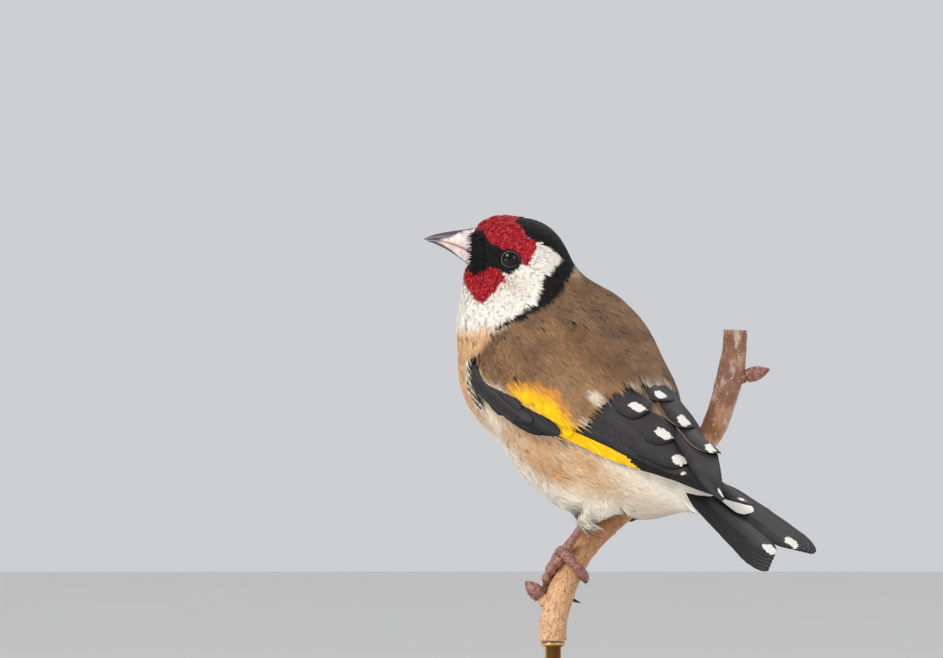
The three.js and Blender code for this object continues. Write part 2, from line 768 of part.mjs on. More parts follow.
function budRoute({ seat, toward, reach, size, radius }) {
  const base = new THREE.Vector3(...seat);
  const direction = new THREE.Vector3(...toward).normalize();
  const root = perchAt(nearestOnPerch(base)).centre;
  const out = (distance) => base.clone().addScaledVector(direction, distance);
  return {
    route: BUD_PROFILE.map(([share]) => out(reach + share * size)),
    radii: BUD_PROFILE.map(([, width]) => width * radius),
    collar: [root, base.clone().lerp(root, 0.15), out(reach - 2 * GAP), out(reach - GAP)],
    collarRadii: [radius * 1.2, radius * 1.15, radius, radius],
  };
}

function buildPerch() {
  const collars = BUDS.map((bud) => {
    const { collar, collarRadii } = budRoute(bud);
    return toSolid(tubeGeometry(collar, collarRadii, 9));
  });
  return join([perchTube(0), ...collars]);
}

// Wing surfaces: a place is given by its distance down the back and its angle up from the flank
function wingSurface(sign) {
  const lift = sign < 0 ? crossingLift : () => 0;
  const field = seatField;
  const outward = (along, angle) => {
    const turn = THREE.MathUtils.degToRad(angle);
    const origin = BACK_START.clone().addScaledVector(BACK, along);
    const ray = new THREE.Vector3(0, sign * Math.cos(turn), 0).addScaledVector(DORSAL, Math.sin(turn));
    return { origin, ray };
  };
  return {
    place(along, angle, height) {
      const { origin, ray } = outward(along, angle);
      return onRay(field, origin, ray, height);
    },
    lowest: WING_CLEARANCE + VANE_THICKNESS / 2,
    clear: (rows) => clearPlumage(field, RUN_CLEARANCE + VANE_THICKNESS / 2, rows),
    normal: (point) => slope(field, point).normalize(),
    settle: (point, height) => settle(field, point, height + lift(point)),
  };
}

// The right wing rises over the left one where it passes the middle of the back
const CROSSING = { start: 44, full: 57, height: 2.3, side: 5 };
function crossingLift(point) {
  const along = point.clone().sub(BACK_START).dot(BACK);
  const back = THREE.MathUtils.smoothstep(along, CROSSING.start, CROSSING.full);
  const over = THREE.MathUtils.smoothstep(point.y, -CROSSING.side, CROSSING.side * 0.3);
  return CROSSING.height * back * over;
}

const LONG_VANE = [[0, 0.55], [0.3, 0.95], [0.62, 1], [0.88, 0.74], [1, 0.26]];
const BENT_VANE = [[0, 0.55], [0.25, 0.88], [0.5, 1], [0.72, 0.95], [0.9, 0.7], [1, 0.26]];
const SHORT_VANE = [[0, 0.6], [0.5, 1], [0.85, 0.8], [1, 0.3]];

// A feather as a thin closed vane that follows a path over a surface
function vane(surface, { path, width, heights, roll = 0.12, thickness = VANE_THICKNESS, hand = 1 }) {
  const line = new THREE.CatmullRomCurve3(path.map(([along, angle]) => new THREE.Vector3(along, angle, 0)));
  const outline = path.length > 4 ? BENT_VANE : path.length > 3 ? LONG_VANE : SHORT_VANE;
  const centres = outline.map(([share]) => {
    const spot = line.getPointAt(share);
    return surface.settle(
      surface.place(spot.x, spot.y, THREE.MathUtils.lerp(...heights, share)),
      THREE.MathUtils.lerp(...heights, share),
    );
  });
  const rows = centres.map((centre, index) => {
    const [share, breadth] = outline[index];
    const before = centres[Math.max(index - 1, 0)];
    const after = centres[Math.min(index + 1, centres.length - 1)];
    const tangent = after.clone().sub(before).normalize();
    const height = THREE.MathUtils.lerp(...heights, share);
    const halfWidth = (width / 2) * breadth;
    const lower = surface.normal(centre).cross(tangent).multiplyScalar(hand).normalize();
    return [-1, 0, 1].map((edge) => {
      const crest = edge === 0 ? 0.1 : 0;
      const point = centre.clone().addScaledVector(lower, edge * halfWidth);
      return surface.settle(point, Math.max(height + edge * halfWidth * roll + crest, surface.lowest));
    });
  });
  surface.clear(rows);
  const face = (side) => rows.map((row, index) => row.map((point) => {
    const half = (thickness / 2) * (outline[index][0] === 1 ? 0.65 : 1);
    return point.clone().addScaledVector(surface.normal(point), side * half);
  }));
  return toSolid(slabGeometry(face(1), face(-1)));
}

// Lifts the rows of a vane where a straight run between two of its points would dip under the lowest height
function clearPlumage(field, lowest, rows) {
  const pairs = [];
  rows.forEach((row, index) => {
    row.forEach((point, column) => {
      const next = rows[index + 1];
      if (next) {
        pairs.push([point, next[column]], [point, next[Math.min(column + 1, 2)]]);
      }
      if (column < 2) {
        pairs.push([point, row[column + 1]]);
      }
    });
  });
  for (let round = 0; round < 3; round += 1) {
    for (const [from, to] of pairs) {
      for (const share of [0.25, 0.5, 0.75]) {
        const spot = from.clone().lerp(to, share);
        const short = lowest - field(spot);
        if (short > 0) {
          const lift = slope(field, spot).normalize().multiplyScalar(short);
          from.add(lift);
          to.add(lift);
        }
      }
    }
  }
}

// A row of feathers whose paths, widths and heights change evenly from the first to the last
function featherRow(count, first, last) {
  return Array.from({ length: count }, (_, index) => {
    const share = count > 1 ? index / (count - 1) : 0;
    const mix = (a, b) => THREE.MathUtils.lerp(a, b, share);
    return {
      path: first.path.map((place, spot) => place.map((value, part) => mix(value, last.path[spot][part]))),
      width: mix(first.width, last.width),
      heights: [mix(first.heights[0], last.heights[0]), mix(first.heights[1], last.heights[1])],
    };
  });
}

// Feather tiers of the folded left wing, from the lowest layer to the highest
const LEFT_WING = {
  primaries: featherRow(
    6,
    { path: [[22, -1], [36, -1], [48, 1], [60, 13], [74.6, 40]], width: 5, heights: [0.7, 0.75] },
    { path: [[23, 10], [34, 12], [43, 15], [51, 22], [59, 34]], width: 6, heights: [1.2, 1.35] },
  ),
  secondaries: featherRow(
    3,
    { path: [[22, 12], [34, 14], [45, 18], [58, 22]], width: 6, heights: [1.2, 1.5] },
    { path: [[22, 24], [32, 27], [42, 30], [52, 36]], width: 6, heights: [1.5, 1.85] },
  ),
  tertials: [
    { path: [[21, 22], [34, 22], [46, 25], [56.5, 34]], width: 7.4, heights: [1.5, 2] },
    { path: [[21, 34], [32, 34], [41, 39], [50, 50]], width: 7, heights: [1.7, 2.3] },
    { path: [[20, 46], [28, 46], [35, 49], [42, 54]], width: 6.4, heights: [1.8, 2.5] },
  ],
  primaryCoverts: featherRow(
    3,
    { path: [[7, -3], [16, -7], [26, -7]], width: 3.6, heights: [0.9, 1.7] },
    { path: [[9, 2], [19, -1], [30, -3]], width: 3.8, heights: [1.3, 2] },
  ),
  alula: featherRow(
    2,
    { path: [[3, 4], [9, -4], [17, -8]], width: 3, heights: [1.2, 2.1] },
    { path: [[3, 7], [9, 0], [15, -4]], width: 3, heights: [1.5, 2.4] },
  ),
  greaterCoverts: featherRow(
    5,
    { path: [[13, 3], [22, 1], [32, 2]], width: 5.2, heights: [1.4, 2.2] },
    { path: [[15, 34], [24, 38], [32, 44]], width: 5.8, heights: [1.9, 2.9] },
  ),
  medianCoverts: featherRow(
    4,
    { path: [[8, 9], [14, 8], [20, 8]], width: 5, heights: [1.6, 2.4] },
    { path: [[10, 38], [16, 40], [23, 43]], width: 5.6, heights: [1.9, 3] },
  ),
};

// The right wing is drawn further over the back, and its tip crosses the left one
const RIGHT_WING = {
  primaries: featherRow(
    6,
    { path: [[22, 8], [36, 16], [48, 42], [58, 98], [71, 166]], width: 5, heights: [0.7, 0.75] },
    { path: [[23, 22], [32, 36], [40, 58], [47, 84], [59, 124]], width: 6, heights: [1.2, 1.35] },
  ),
  secondaries: featherRow(
    3,
    { path: [[22, 20], [34, 42], [45, 68], [57, 96]], width: 6, heights: [1.2, 1.5] },
    { path: [[22, 40], [32, 56], [42, 78], [50, 96]], width: 6, heights: [1.5, 1.85] },
  ),
  tertials: [
    { path: [[21, 38], [34, 56], [45, 76], [57.5, 98]], width: 7.4, heights: [1.5, 2] },
    { path: [[21, 52], [32, 66], [41, 84], [50, 96]], width: 7, heights: [1.7, 2.3] },
    { path: [[20, 64], [27, 74], [34, 86], [41.5, 96]], width: 6.4, heights: [1.8, 2.5] },
  ],
  primaryCoverts: LEFT_WING.primaryCoverts,
  alula: LEFT_WING.alula,
  greaterCoverts: featherRow(
    5,
    { path: [[13, 3], [22, 4], [32, 12]], width: 5.2, heights: [1.4, 2.2] },
    { path: [[15, 44], [24, 58], [32, 72]], width: 5.8, heights: [1.9, 2.9] },
  ),
  medianCoverts: LEFT_WING.medianCoverts,
};

// The arm of the wing under its coverts, as a thin pad that the feathers root in
const ARM_STATIONS = [
  { along: 2, low: 2, high: 17, height: 1 },
  { along: 5, low: -2, high: 32, height: 1.7 },
  { along: 10, low: -7, high: 44, height: 2.1 },
  { along: 15, low: -9, high: 50, height: 2.1 },
  { along: 20, low: -9, high: 52, height: 2 },
  { along: 26, low: -8, high: 52, height: 1.8 },
  { along: 32, low: -6, high: 50, height: 1.3 },
];
const ARM_EDGE = 0.3;
const ARM_COLUMNS = [0, 0.12, 0.32, 0.5, 0.68, 0.88, 1];

function armPad(surface) {
  const top = [];
  const bottom = [];
  for (const { along, low, high, height } of ARM_STATIONS) {
    const place = (share, rise) => surface.place(along, THREE.MathUtils.lerp(low, high, share), rise);
    const bulge = (share) => Math.sin(Math.PI * (0.12 + 0.76 * share)) ** 0.7;
    const above = (share) => ARM_CLEARANCE + ARM_EDGE + (height - ARM_EDGE) * bulge(share);
    top.push(ARM_COLUMNS.map((share) => place(share, above(share))));
    bottom.push(ARM_COLUMNS.map((share) => place(share, ARM_CLEARANCE)));
  }
  return toSolid(slabGeometry(top, bottom));
}

function buildWing(sign, tiers) {
  const surface = wingSurface(sign);
  const vanes = Object.values(tiers).flat().map((feather) => vane(surface, { ...feather, hand: sign }));
  return join([armPad(surface), ...vanes], FEATHER_SMOOTHNESS);
}

// Tail surface: a flat frame whose places are distance back and distance left
const tailSurface = {
  place: (along, left, height) => TAIL_ROOT.clone()
    .addScaledVector(TAIL_BACK, along)
    .addScaledVector(TAIL_LEFT, left)
    .addScaledVector(TAIL_UP, height),
  lowest: -Infinity,
  clear: () => {},
  normal: () => TAIL_UP.clone(),
  settle(point, height) {
    const rise = point.clone().sub(TAIL_ROOT).dot(TAIL_UP);
    return point.addScaledVector(TAIL_UP, height - rise);
  },
};

// Half of the tail: feathers from the middle pair to the outer one, each a little lower than the last
function tailHalf(side) {
  return onSide(side, featherRow(
    6,
    { path: [[12, 1], [27, 1.6], [41.2, 2.2]], width: 6, heights: [0.9, 0.7] },
    { path: [[12, 2.4], [30, 4.2], [44.6, 5.8]], width: 4.8, heights: [-0.5, -0.8] },
  ));
}

function tailCoverts(side) {
  return onSide(side, featherRow(
    4,
    { path: [[11.5, 0.8], [19, 1.2], [27, 1.8]], width: 4.6, heights: [1.7, 1.3] },
    { path: [[11.5, 3], [18, 3.8], [25, 4.8]], width: 4.2, heights: [1, 0.3] },
  ));
}

// Feathers drawn for the left half of the tail, put on either half
function onSide(side, feathers) {
  return feathers.map((feather) => ({
    ...feather,
    path: feather.path.map(([along, left]) => [along, side * left]),
    hand: side,
  }));
}

function buildTail(trunk) {
  const root = largest(trunk.intersect(beyondCut(TAIL_CUT)));
  const feathers = [1, -1].flatMap((side) => [...tailHalf(side), ...tailCoverts(side)]);
  const vanes = feathers.map((feather) => vane(tailSurface, feather));
  return join([root, ...vanes], FEATHER_SMOOTHNESS);
}

// Stand: a turned base and a rod up to the lower end of the perch
function buildBase() {
  const edge = 1.2;
  const profile = [
    [0, 0],
    [BASE_RADIUS - edge, 0],
    [BASE_RADIUS, edge],
    [BASE_RADIUS, BASE_HEIGHT - 3],
    [BASE_RADIUS - 0.9, BASE_HEIGHT - 0.9],
    [BASE_RADIUS - 3, BASE_HEIGHT],
    [0, BASE_HEIGHT],
  ];
  const base = new THREE.LatheGeometry(profile.map(([r, z]) => new THREE.Vector2(r, z)), BASE_SIDES);
  base.rotateX(Math.PI / 2);
  return base;
}

const model = new THREE.Group();
const bird = new THREE.Group();
bird.position.copy(BODY_CENTRE);
bird.rotation.z = -Math.PI / 2;
model.add(bird);

function addMesh(parent, name, geometry, colour, roughness = 0.8, metalness = 0) {
  const material = new THREE.MeshStandardMaterial({ color: colour, roughness, metalness });
  const mesh = new THREE.Mesh(geometry, material);
  mesh.name = name;
  parent.add(mesh);
  return mesh;
}

function addSolid(name, solid, colour, roughness, metalness) {
  return addMesh(bird, name, toGeometry(solid), colour, roughness, metalness);
}

const trunk = buildTrunk(0);
const trunkShell = buildTrunk(GAP);
const sleeve = perchTube(GAP);
addSolid('head', buildHead(), COLOURS.face);
addSolid('bill_upper', buildUpperBill(), COLOURS.bill, 0.35);
addSolid('bill_lower', mandible(false, 0), COLOURS.bill, 0.35);
addSolid('eye_left', sphereSolid(eyeCentre(1), EYE_RADIUS, 16), COLOURS.eye, 0.05);
addSolid('eye_right', sphereSolid(eyeCentre(-1), EYE_RADIUS, 16), COLOURS.eye, 0.05);
addSolid('neck', buildNeck(), COLOURS.plumage);
const torso = trunk.intersect(beforeCut(NECK_CUT)).intersect(beforeCut(TAIL_CUT));
const rightFoot = legSolids('right', 1.5 * GAP);
addSolid('torso', largest(torso.subtract(sleeve).subtract(rightFoot), 0.05), COLOURS.plumage);
addSolid('tail', buildTail(trunk), COLOURS.flight);
addSolid('wing_left', buildWing(1, LEFT_WING), COLOURS.flight);
addSolid('wing_right', buildWing(-1, RIGHT_WING), COLOURS.flight);
for (const side of ['left', 'right']) {
  addSolid(`thigh_${side}`, buildThigh(side, trunkShell), COLOURS.plumage);
  addSolid(`leg_${side}`, largest(legSolids(side, 0).subtract(sleeve)), COLOURS.leg);
  for (const toe of TOES) {
    addSolid(`claw_${side}_${toe.name}`, buildClaw(side, toe), COLOURS.claw, 0.4);
  }
}
addSolid('perch', buildPerch(), COLOURS.bark);
BUDS.forEach((bud, index) => {
  const { route, radii } = budRoute(bud);
  addSolid(`perch_bud_${index + 1}`, toSolid(tubeGeometry(route, radii, 9)), COLOURS.bud);
});

const perchFoot = new THREE.Vector3(...PERCH_ROUTE[0].at).applyAxisAngle(UP, -Math.PI / 2).add(BODY_CENTRE);
const rodHeight = perchFoot.z - BASE_HEIGHT - 2 * GAP;
const rod = new THREE.CylinderGeometry(ROD_RADIUS, ROD_RADIUS, rodHeight, 20);
rod.rotateX(Math.PI / 2);
const rodMesh = addMesh(model, 'stand_rod', rod, COLOURS.metal, 0.35, 1);
rodMesh.position.set(perchFoot.x, perchFoot.y, BASE_HEIGHT + GAP + rodHeight / 2);
addMesh(model, 'stand_base', buildBase(), COLOURS.base, 0.5);

export default model;
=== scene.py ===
"""A European goldfinch on a cut twig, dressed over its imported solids.

The bird is drawn in its own millimetres (forward, left, up) from the middle of its body, as the solids
are. to_row() turns them into the frame's metres.
"""

import math

import bmesh
import bpy
import numpy as np
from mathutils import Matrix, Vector


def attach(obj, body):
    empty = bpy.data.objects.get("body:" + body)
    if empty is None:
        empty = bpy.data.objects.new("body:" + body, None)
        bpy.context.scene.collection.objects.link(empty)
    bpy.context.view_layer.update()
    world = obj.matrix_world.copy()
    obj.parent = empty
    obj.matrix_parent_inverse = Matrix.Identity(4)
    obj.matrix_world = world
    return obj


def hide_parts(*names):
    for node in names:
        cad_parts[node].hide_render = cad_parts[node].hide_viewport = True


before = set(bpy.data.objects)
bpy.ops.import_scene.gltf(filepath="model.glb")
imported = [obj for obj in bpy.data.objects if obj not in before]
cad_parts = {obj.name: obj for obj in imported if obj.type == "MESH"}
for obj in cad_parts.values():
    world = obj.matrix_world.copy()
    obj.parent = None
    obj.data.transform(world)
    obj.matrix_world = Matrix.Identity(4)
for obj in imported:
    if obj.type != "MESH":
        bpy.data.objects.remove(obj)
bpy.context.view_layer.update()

MM = 0.001
BODY_CENTRE = np.array([-2.26, 2.26, 89.4])
HEAD_CENTRE = np.array([18.9, 7.6, 30.5])
HEAD_FORWARD = np.array([math.sqrt(0.5), math.sqrt(0.5), 0.0])
HEAD_LEFT = np.array([-math.sqrt(0.5), math.sqrt(0.5), 0.0])
UP = np.array([0.0, 0.0, 1.0])


def to_row(points):
    """Bird millimetres to metres of the frame."""
    points = np.asarray(points, float)
    turned = np.stack([points[..., 1], -points[..., 0], points[..., 2]], -1)
    return (turned + BODY_CENTRE) * MM


def from_row(points):
    points = np.asarray(points, float) / MM - BODY_CENTRE
    return np.stack([-points[..., 1], points[..., 0], points[..., 2]], -1)


def on_head(forward, left, up):
    """A place from the head's own forward, left and up."""
    place = np.multiply.outer(forward, HEAD_FORWARD) + np.multiply.outer(left, HEAD_LEFT)
    return place + np.multiply.outer(up, UP) + HEAD_CENTRE


def head_view(points):
    """The head's own forward, left and up of each point."""
    off = points - HEAD_CENTRE
    return off @ HEAD_FORWARD, off @ HEAD_LEFT, off @ UP


def smooth(value, low, high):
    share = np.clip((value - low) / (high - low), 0, 1)
    return share * share * (3 - 2 * share)


def unit(vectors):
    return vectors / np.maximum(np.linalg.norm(vectors, axis=-1, keepdims=True), 1e-9)


def far_from(points, place):
    return np.linalg.norm(points - place, axis=-1)


def ripple(points, size, seed):
    """Soft irregular noise from -1 to 1 that changes over about the size given."""
    draw = np.random.default_rng(seed)
    total = np.zeros(points.shape[:-1])
    for _ in range(7):
        wave = unit(draw.normal(size=3)) * draw.uniform(0.6, 1.6) * 2 * math.pi / (2 * size)
        total += np.sin(points @ wave + draw.uniform(0, 6.28))
    return total / 3.2


# The form under the feathers: that of the solids, with a fuller chin, a fuller belly over the left thigh
# and a hollow round the bill

BALLS = {
    "cranium": (on_head(-2.1, 0, 0.5), 9.2),
    "forehead": (on_head(1.8, 0, 2.7), 7.9),
    "face": (on_head(3.4, 0, 0.6), 4.9),
    "nape": (on_head(-4.0, 0, -3.6), 9.3),
    "chin": (on_head(3.3, 0, -5.4), 6.6),
    "gular": (on_head(5.9, 0, -2.5), 4.2),
    "throat": (on_head(1.3, 0, -12), 9.8),
}
for name, *place, radius in (
    ("neck", 16.2, 1.2, 17, 13.2), ("breast", 16.2, 0, 9.8, 18), ("mantle", 9.2, 0, 6.6, 16.2),
    ("belly", 4.6, 0, -3.2, 15.9), ("vent", -13.5, 0, -12.2, 10.1), ("undertail", -30, 0, -18.6, 2.3),
    ("rump", -16.5, 0, -8.5, 8), ("tailroot", -31, 0, -16.6, 2.6),
):
    BALLS[name] = (np.array(place), radius)
HEAD_LINKS = (
    "cranium forehead", "forehead face", "cranium nape", "cranium chin", "chin gular", "chin throat",
)
NECK_LINKS = ("nape neck", "throat neck")
BODY_LINKS = (
    "neck breast", "breast belly", "mantle belly", "belly vent", "mantle rump", "rump tailroot",
    "vent undertail", "undertail tailroot",
)
# Hip, heel and cuff, each with its radius
THIGHS = {
    "left": ((2, 9, -8, 6), (-7.5, 7.3, -19, 3.4), (-4, 8.2, -23.2, 1.9)),
    "right": ((1, -8.5, -7, 5.5), (-5.5, -9.4, -11.6, 3.4), (-1.2, -12.2, -13, 2.2)),
}
THIGHS = {side: [(np.array(ball[:3]), ball[3]) for ball in balls] for side, balls in THIGHS.items()}
# The belly feathers that hang over the left thigh, and the hollow of the face that the bill stands in
APRON = (np.array([0, 7.4, -14.6]), 6.8)
BILL_HOLLOW = (on_head(12.2, 0, 3.4), 4.6)
ROOF = ((np.array([-20, 0, -10.5]), 4.8), (np.array([-46, 0, -22.6]), 2.2))
HEAD_SLIMNESS = 1.1
HEAD_FILLET, NECK_FILLET, BODY_FILLET, THIGH_FILLET, APRON_FILLET = 1.6, 2.5, 3, 2.6, 4
ROOF_BREADTH = 0.6


def round_cone(points, start, end):
    """Distance to a cone with round ends."""
    (a, radius_a), (b, radius_b) = start, end
    axis = b - a
    length2 = float(axis @ axis)
    taper = radius_a - radius_b
    slant = length2 - taper * taper
    off = points - a
    if slant <= 0:
        return np.minimum(
            np.linalg.norm(off, axis=-1) - radius_a, far_from(points, b) - radius_b
        )
    along = off @ axis
    beyond = along - length2
    across2 = ((off * length2 - along[..., None] * axis) ** 2).sum(-1)
    along2 = along * along * length2
    beyond2 = beyond * beyond * length2
    limit = math.copysign(taper * taper, taper) * across2
    side = (np.sqrt(across2 * slant / length2) + along * taper) / length2 - radius_a
    far = np.sqrt(across2 + beyond2) / length2 - radius_b
    near = np.sqrt(across2 + along2) / length2 - radius_a
    distance = np.where(np.sign(along) * slant * along2 < limit, near, side)
    return np.where(np.sign(beyond) * slant * beyond2 > limit, far, distance)


def blend(a, b, fillet):
    share = np.maximum(fillet - np.abs(a - b), 0) / fillet
    return np.minimum(a, b) - share * share * fillet * 0.25


def linked(points, links, fillet):
    distance = None
    for link in links:
        start, end = link.split()
        following = round_cone(points, BALLS[start], BALLS[end])
        distance = following if distance is None else blend(distance, following, fillet)
    return distance


def body_field(points):
    """Distance from the outer surface of the plumage, without thighs, wings and tail."""
    left = (points - HEAD_CENTRE) @ HEAD_LEFT
    slimmed = points + (left * (HEAD_SLIMNESS - 1))[..., None] * HEAD_LEFT
    neck = linked(points, NECK_LINKS, HEAD_FILLET)
    head = blend(linked(slimmed, HEAD_LINKS, HEAD_FILLET), neck, NECK_FILLET)
    whole = blend(head, linked(points, BODY_LINKS, BODY_FILLET), BODY_FILLET)
    centre, radius = BILL_HOLLOW
    return np.maximum(whole, radius - far_from(points, centre))


def seat_field(points):
    """What the folded wings lie on."""
    flattened = points * np.array([1, ROOF_BREADTH, 1])
    return blend(body_field(points), round_cone(flattened, *ROOF), BODY_FILLET)


def thigh_field(points, side):
    hip, heel, cuff = THIGHS[side]
    return blend(round_cone(points, hip, heel), round_cone(points, heel, cuff), 1)


# The wing map: distance down the back, and angle up from the flank
BACK_START = np.array([22.0, 0, 8])
BACK = unit(np.array([-46.0, 0, -21]) - BACK_START)
DORSAL = np.cross([0, 1.0, 0], BACK)


def from_back(points):
    """How far down the back each point lies, and how high over its line."""
    off = points - BACK_START
    return off @ BACK, off @ DORSAL


def wing_place(points, sign):
    along, high = from_back(points)
    return along, np.degrees(np.arctan2(high, sign * points[..., 1]))


ARM_HEIGHT = 2.7


def arm_height(points):
    """How far the arm of each folded wing and the feathers on it stand over the body."""
    height = np.zeros(points.shape[:-1])
    for sign in (1, -1):
        along, angle = wing_place(points, sign)
        front = smooth(along, 0.5, 9)
        rear = 1 - smooth(along, 31, 44)
        low = smooth(angle, -13, 9)
        high = 1 - smooth(angle, 52, 88) * (1 - 0.85 * smooth(along, 20, 31))
        height = np.maximum(height, ARM_HEIGHT * front * rear * low * high)
    return height


def plumage_field(points):
    """Distance from the outer surface of the small feathers, wings' arms and thighs included."""
    field = body_field(points) - arm_height(points)
    centre, radius = APRON
    field = blend(field, far_from(points, centre) - radius, APRON_FILLET)
    for side in THIGHS:
        field = blend(field, thigh_field(points, side), THIGH_FILLET)
    return field


def slope(field, points, step=0.05):
    rises = [field(points + step * axis) - field(points - step * axis) for axis in np.eye(3)]
    return np.stack(rises, -1) / (2 * step)


def settle(field, points, height, rounds=3):
    """Moves points along the field's slope to a height over its surface."""
    for _ in range(rounds):
        gradient = slope(field, points)
        miss = height - field(points)
        strength = np.maximum((gradient**2).sum(-1), 0.2)
        points = points + gradient * (miss / strength)[..., None]
    return points


def on_ray(field, origins, rays, height, far=40.0, rounds=22):
    """The first point of each ray that lies at the height."""
    near = np.zeros(origins.shape[:-1])
    end = np.full(origins.shape[:-1], far)
    for _ in range(rounds):
        middle = (near + end) / 2
        inside = field(origins + rays * middle[..., None]) < height
        near = np.where(inside, middle, near)
        end = np.where(inside, end, middle)
    return origins + rays * near[..., None]


# Meshes


def new_piece(name, mesh):
    piece = bpy.data.objects.new(name, mesh)
    bpy.context.scene.collection.objects.link(piece)
    return piece


def finish_bmesh(name, bm):
    mesh = bpy.data.meshes.new(name)
    bm.to_mesh(mesh)
    bm.free()
    mesh.shade_smooth()
    return new_piece(name, mesh)


def mesh_from_arrays(name, points, triangles, uv, normals=None, **attributes):
    """A joined mesh of many small closed forms, from points in metres of the frame."""
    mesh = bpy.data.meshes.new(name)
    mesh.vertices.add(len(points))
    mesh.vertices.foreach_set("co", points.astype(np.float32).ravel())
    mesh.loops.add(triangles.size)
    mesh.loops.foreach_set("vertex_index", triangles.astype(np.int32).ravel())
    mesh.polygons.add(len(triangles))
    mesh.polygons.foreach_set("loop_start", np.arange(0, triangles.size, 3, dtype=np.int32))
    mesh.update(calc_edges=True)
    mesh.shade_smooth()
    layer = mesh.uv_layers.new(name="OFBake")
    layer.uv.foreach_set("vector", uv[triangles.ravel()].astype(np.float32).ravel())
    for key, values in attributes.items():
        set_attribute(mesh, key, values)
    if normals is not None:
        mesh.normals_split_custom_set_from_vertices(normals)
    return new_piece(name, mesh)


def set_attribute(mesh, key, values):
    """A number or a colour for each point."""
    if values.ndim == 2:
        colours = np.concatenate([values, np.ones((len(values), 1))], 1)
        layer = mesh.attributes.new(key, "FLOAT_COLOR", "POINT")
        layer.data.foreach_set("color", colours.astype(np.float32).ravel())
    else:
        layer = mesh.attributes.new(key, "FLOAT", "POINT")
        layer.data.foreach_set("value", values.astype(np.float32))


def mesh_points(mesh):
    points = np.zeros(len(mesh.vertices) * 3, np.float32)
    mesh.vertices.foreach_get("co", points)
    return points.reshape(-1, 3).astype(float)


def rolled(name, columns, rows, place, capped=True):
    """A grid rolled round a form: place(turn, share) gives points in bird millimetres, turn from 0 to 1."""
    bm = bmesh.new()
    bmesh.ops.create_grid(bm, x_segments=columns, y_segments=rows, size=0.5)
    flat = np.array([vertex.co[:2] for vertex in bm.verts]) + 0.5
    for vertex, point in zip(bm.verts, to_row(place(flat[:, 0], flat[:, 1]))):
        vertex.co = point
    bmesh.ops.remove_doubles(bm, verts=bm.verts, dist=2e-7)
    if capped:
        bmesh.ops.holes_fill(bm, edges=bm.edges, sides=0)
        bmesh.ops.poke(bm, faces=[face for face in bm.faces if len(face.verts) > 4])
    bmesh.ops.recalc_face_normals(bm, faces=bm.faces)
    return finish_bmesh(name, bm)


def joined(name, pieces):
    """One piece from several."""
    bm = bmesh.new()
    for piece in pieces:
        bm.from_mesh(piece.data)
        bpy.data.objects.remove(piece)
    return finish_bmesh(name, bm)


def spline(points, shares):
    """Places at even shares along a smooth line through points."""
    points = np.asarray(points, float)
    padded = np.vstack([2 * points[0] - points[1], points, 2 * points[-1] - points[-2]])
    steps = np.linspace(0, 1, 25)[:-1, None]
    dense = []
    for index in range(len(points) - 1):
        p0, p1, p2, p3 = padded[index : index + 4]
        dense.append(
            0.5
            * (
                2 * p1
                + (p2 - p0) * steps
                + (2 * p0 - 5 * p1 + 4 * p2 - p3) * steps**2
                + (3 * p1 - p0 - 3 * p2 + p3) * steps**3
            )
        )
    dense = np.vstack(dense + [points[-1:]])
    lengths = np.concatenate([[0], np.cumsum(np.linalg.norm(np.diff(dense, axis=0), axis=1))])
    at = np.asarray(shares) * lengths[-1]
    return np.stack([np.interp(at, lengths, dense[:, part]) for part in range(points.shape[1])], -1)


def line_frames(route):
    """Two directions across a route at each of its points, without twist."""
    tangents = unit(np.gradient(route, axis=0))
    normal = np.array([0.3, 0.2, 1.0])
    normals = []
    for tangent in tangents:
        normal = unit(normal - tangent * (normal @ tangent))
        normals.append(normal)
    normals = np.array(normals)
    return normals, np.cross(tangents, normals)


def tube(name, route, radii, sides, rows, relief=None):
    """A round tube along a route, with a relief over its surface in millimetres."""
    shares = np.linspace(0, 1, rows + 1)
    line = spline(route, shares)
    widths = np.interp(shares, np.linspace(0, 1, len(radii)), radii)
    normals, across = line_frames(line)

    def place(turn, share):
        row = np.rint(share * rows).astype(int)
        angle = 2 * math.pi * turn
        reach = widths[row] + (relief(turn, share) if relief else 0)
        out = normals[row] * np.cos(angle)[:, None] + across[row] * np.sin(angle)[:, None]
        return line[row] + out * reach[:, None]

    return rolled(name, sides, rows, place)


# Shader recipes


class Tone:
    """A shader value that is reckoned with like a number."""

    def __init__(self, tree, socket):
        self.tree = tree
        self.socket = socket

    def _reckon(self, operation, *values):
        node = self.tree.nodes.new("ShaderNodeMath")
        node.operation = operation
        for socket, value in zip(node.inputs, values):
            if isinstance(value, Tone):
                self.tree.links.new(value.socket, socket)
            else:
                socket.default_value = value
        return Tone(self.tree, node.outputs[0])

    def __add__(self, other):
        return self._reckon("ADD", self, other)

    def __radd__(self, other):
        return self._reckon("ADD", other, self)

    def __sub__(self, other):
        return self._reckon("SUBTRACT", self, other)

    def __rsub__(self, other):
        return self._reckon("SUBTRACT", other, self)

    def __mul__(self, other):
        return self._reckon("MULTIPLY", self, other)

    def __rmul__(self, other):
        return self._reckon("MULTIPLY", other, self)

    def wave(self):
        return self._reckon("SINE", self)

    def most(self, other):
        return self._reckon("MAXIMUM", self, other)

    def step(self, low, high):
        """0 under low, 1 over high, and smooth between them."""
        node = self.tree.nodes.new("ShaderNodeMapRange")
        node.interpolation_type = "SMOOTHSTEP"
        self.tree.links.new(self.socket, node.inputs["Value"])
        node.inputs["From Min"].default_value = low
        node.inputs["From Max"].default_value = high
        return Tone(self.tree, node.outputs[0])


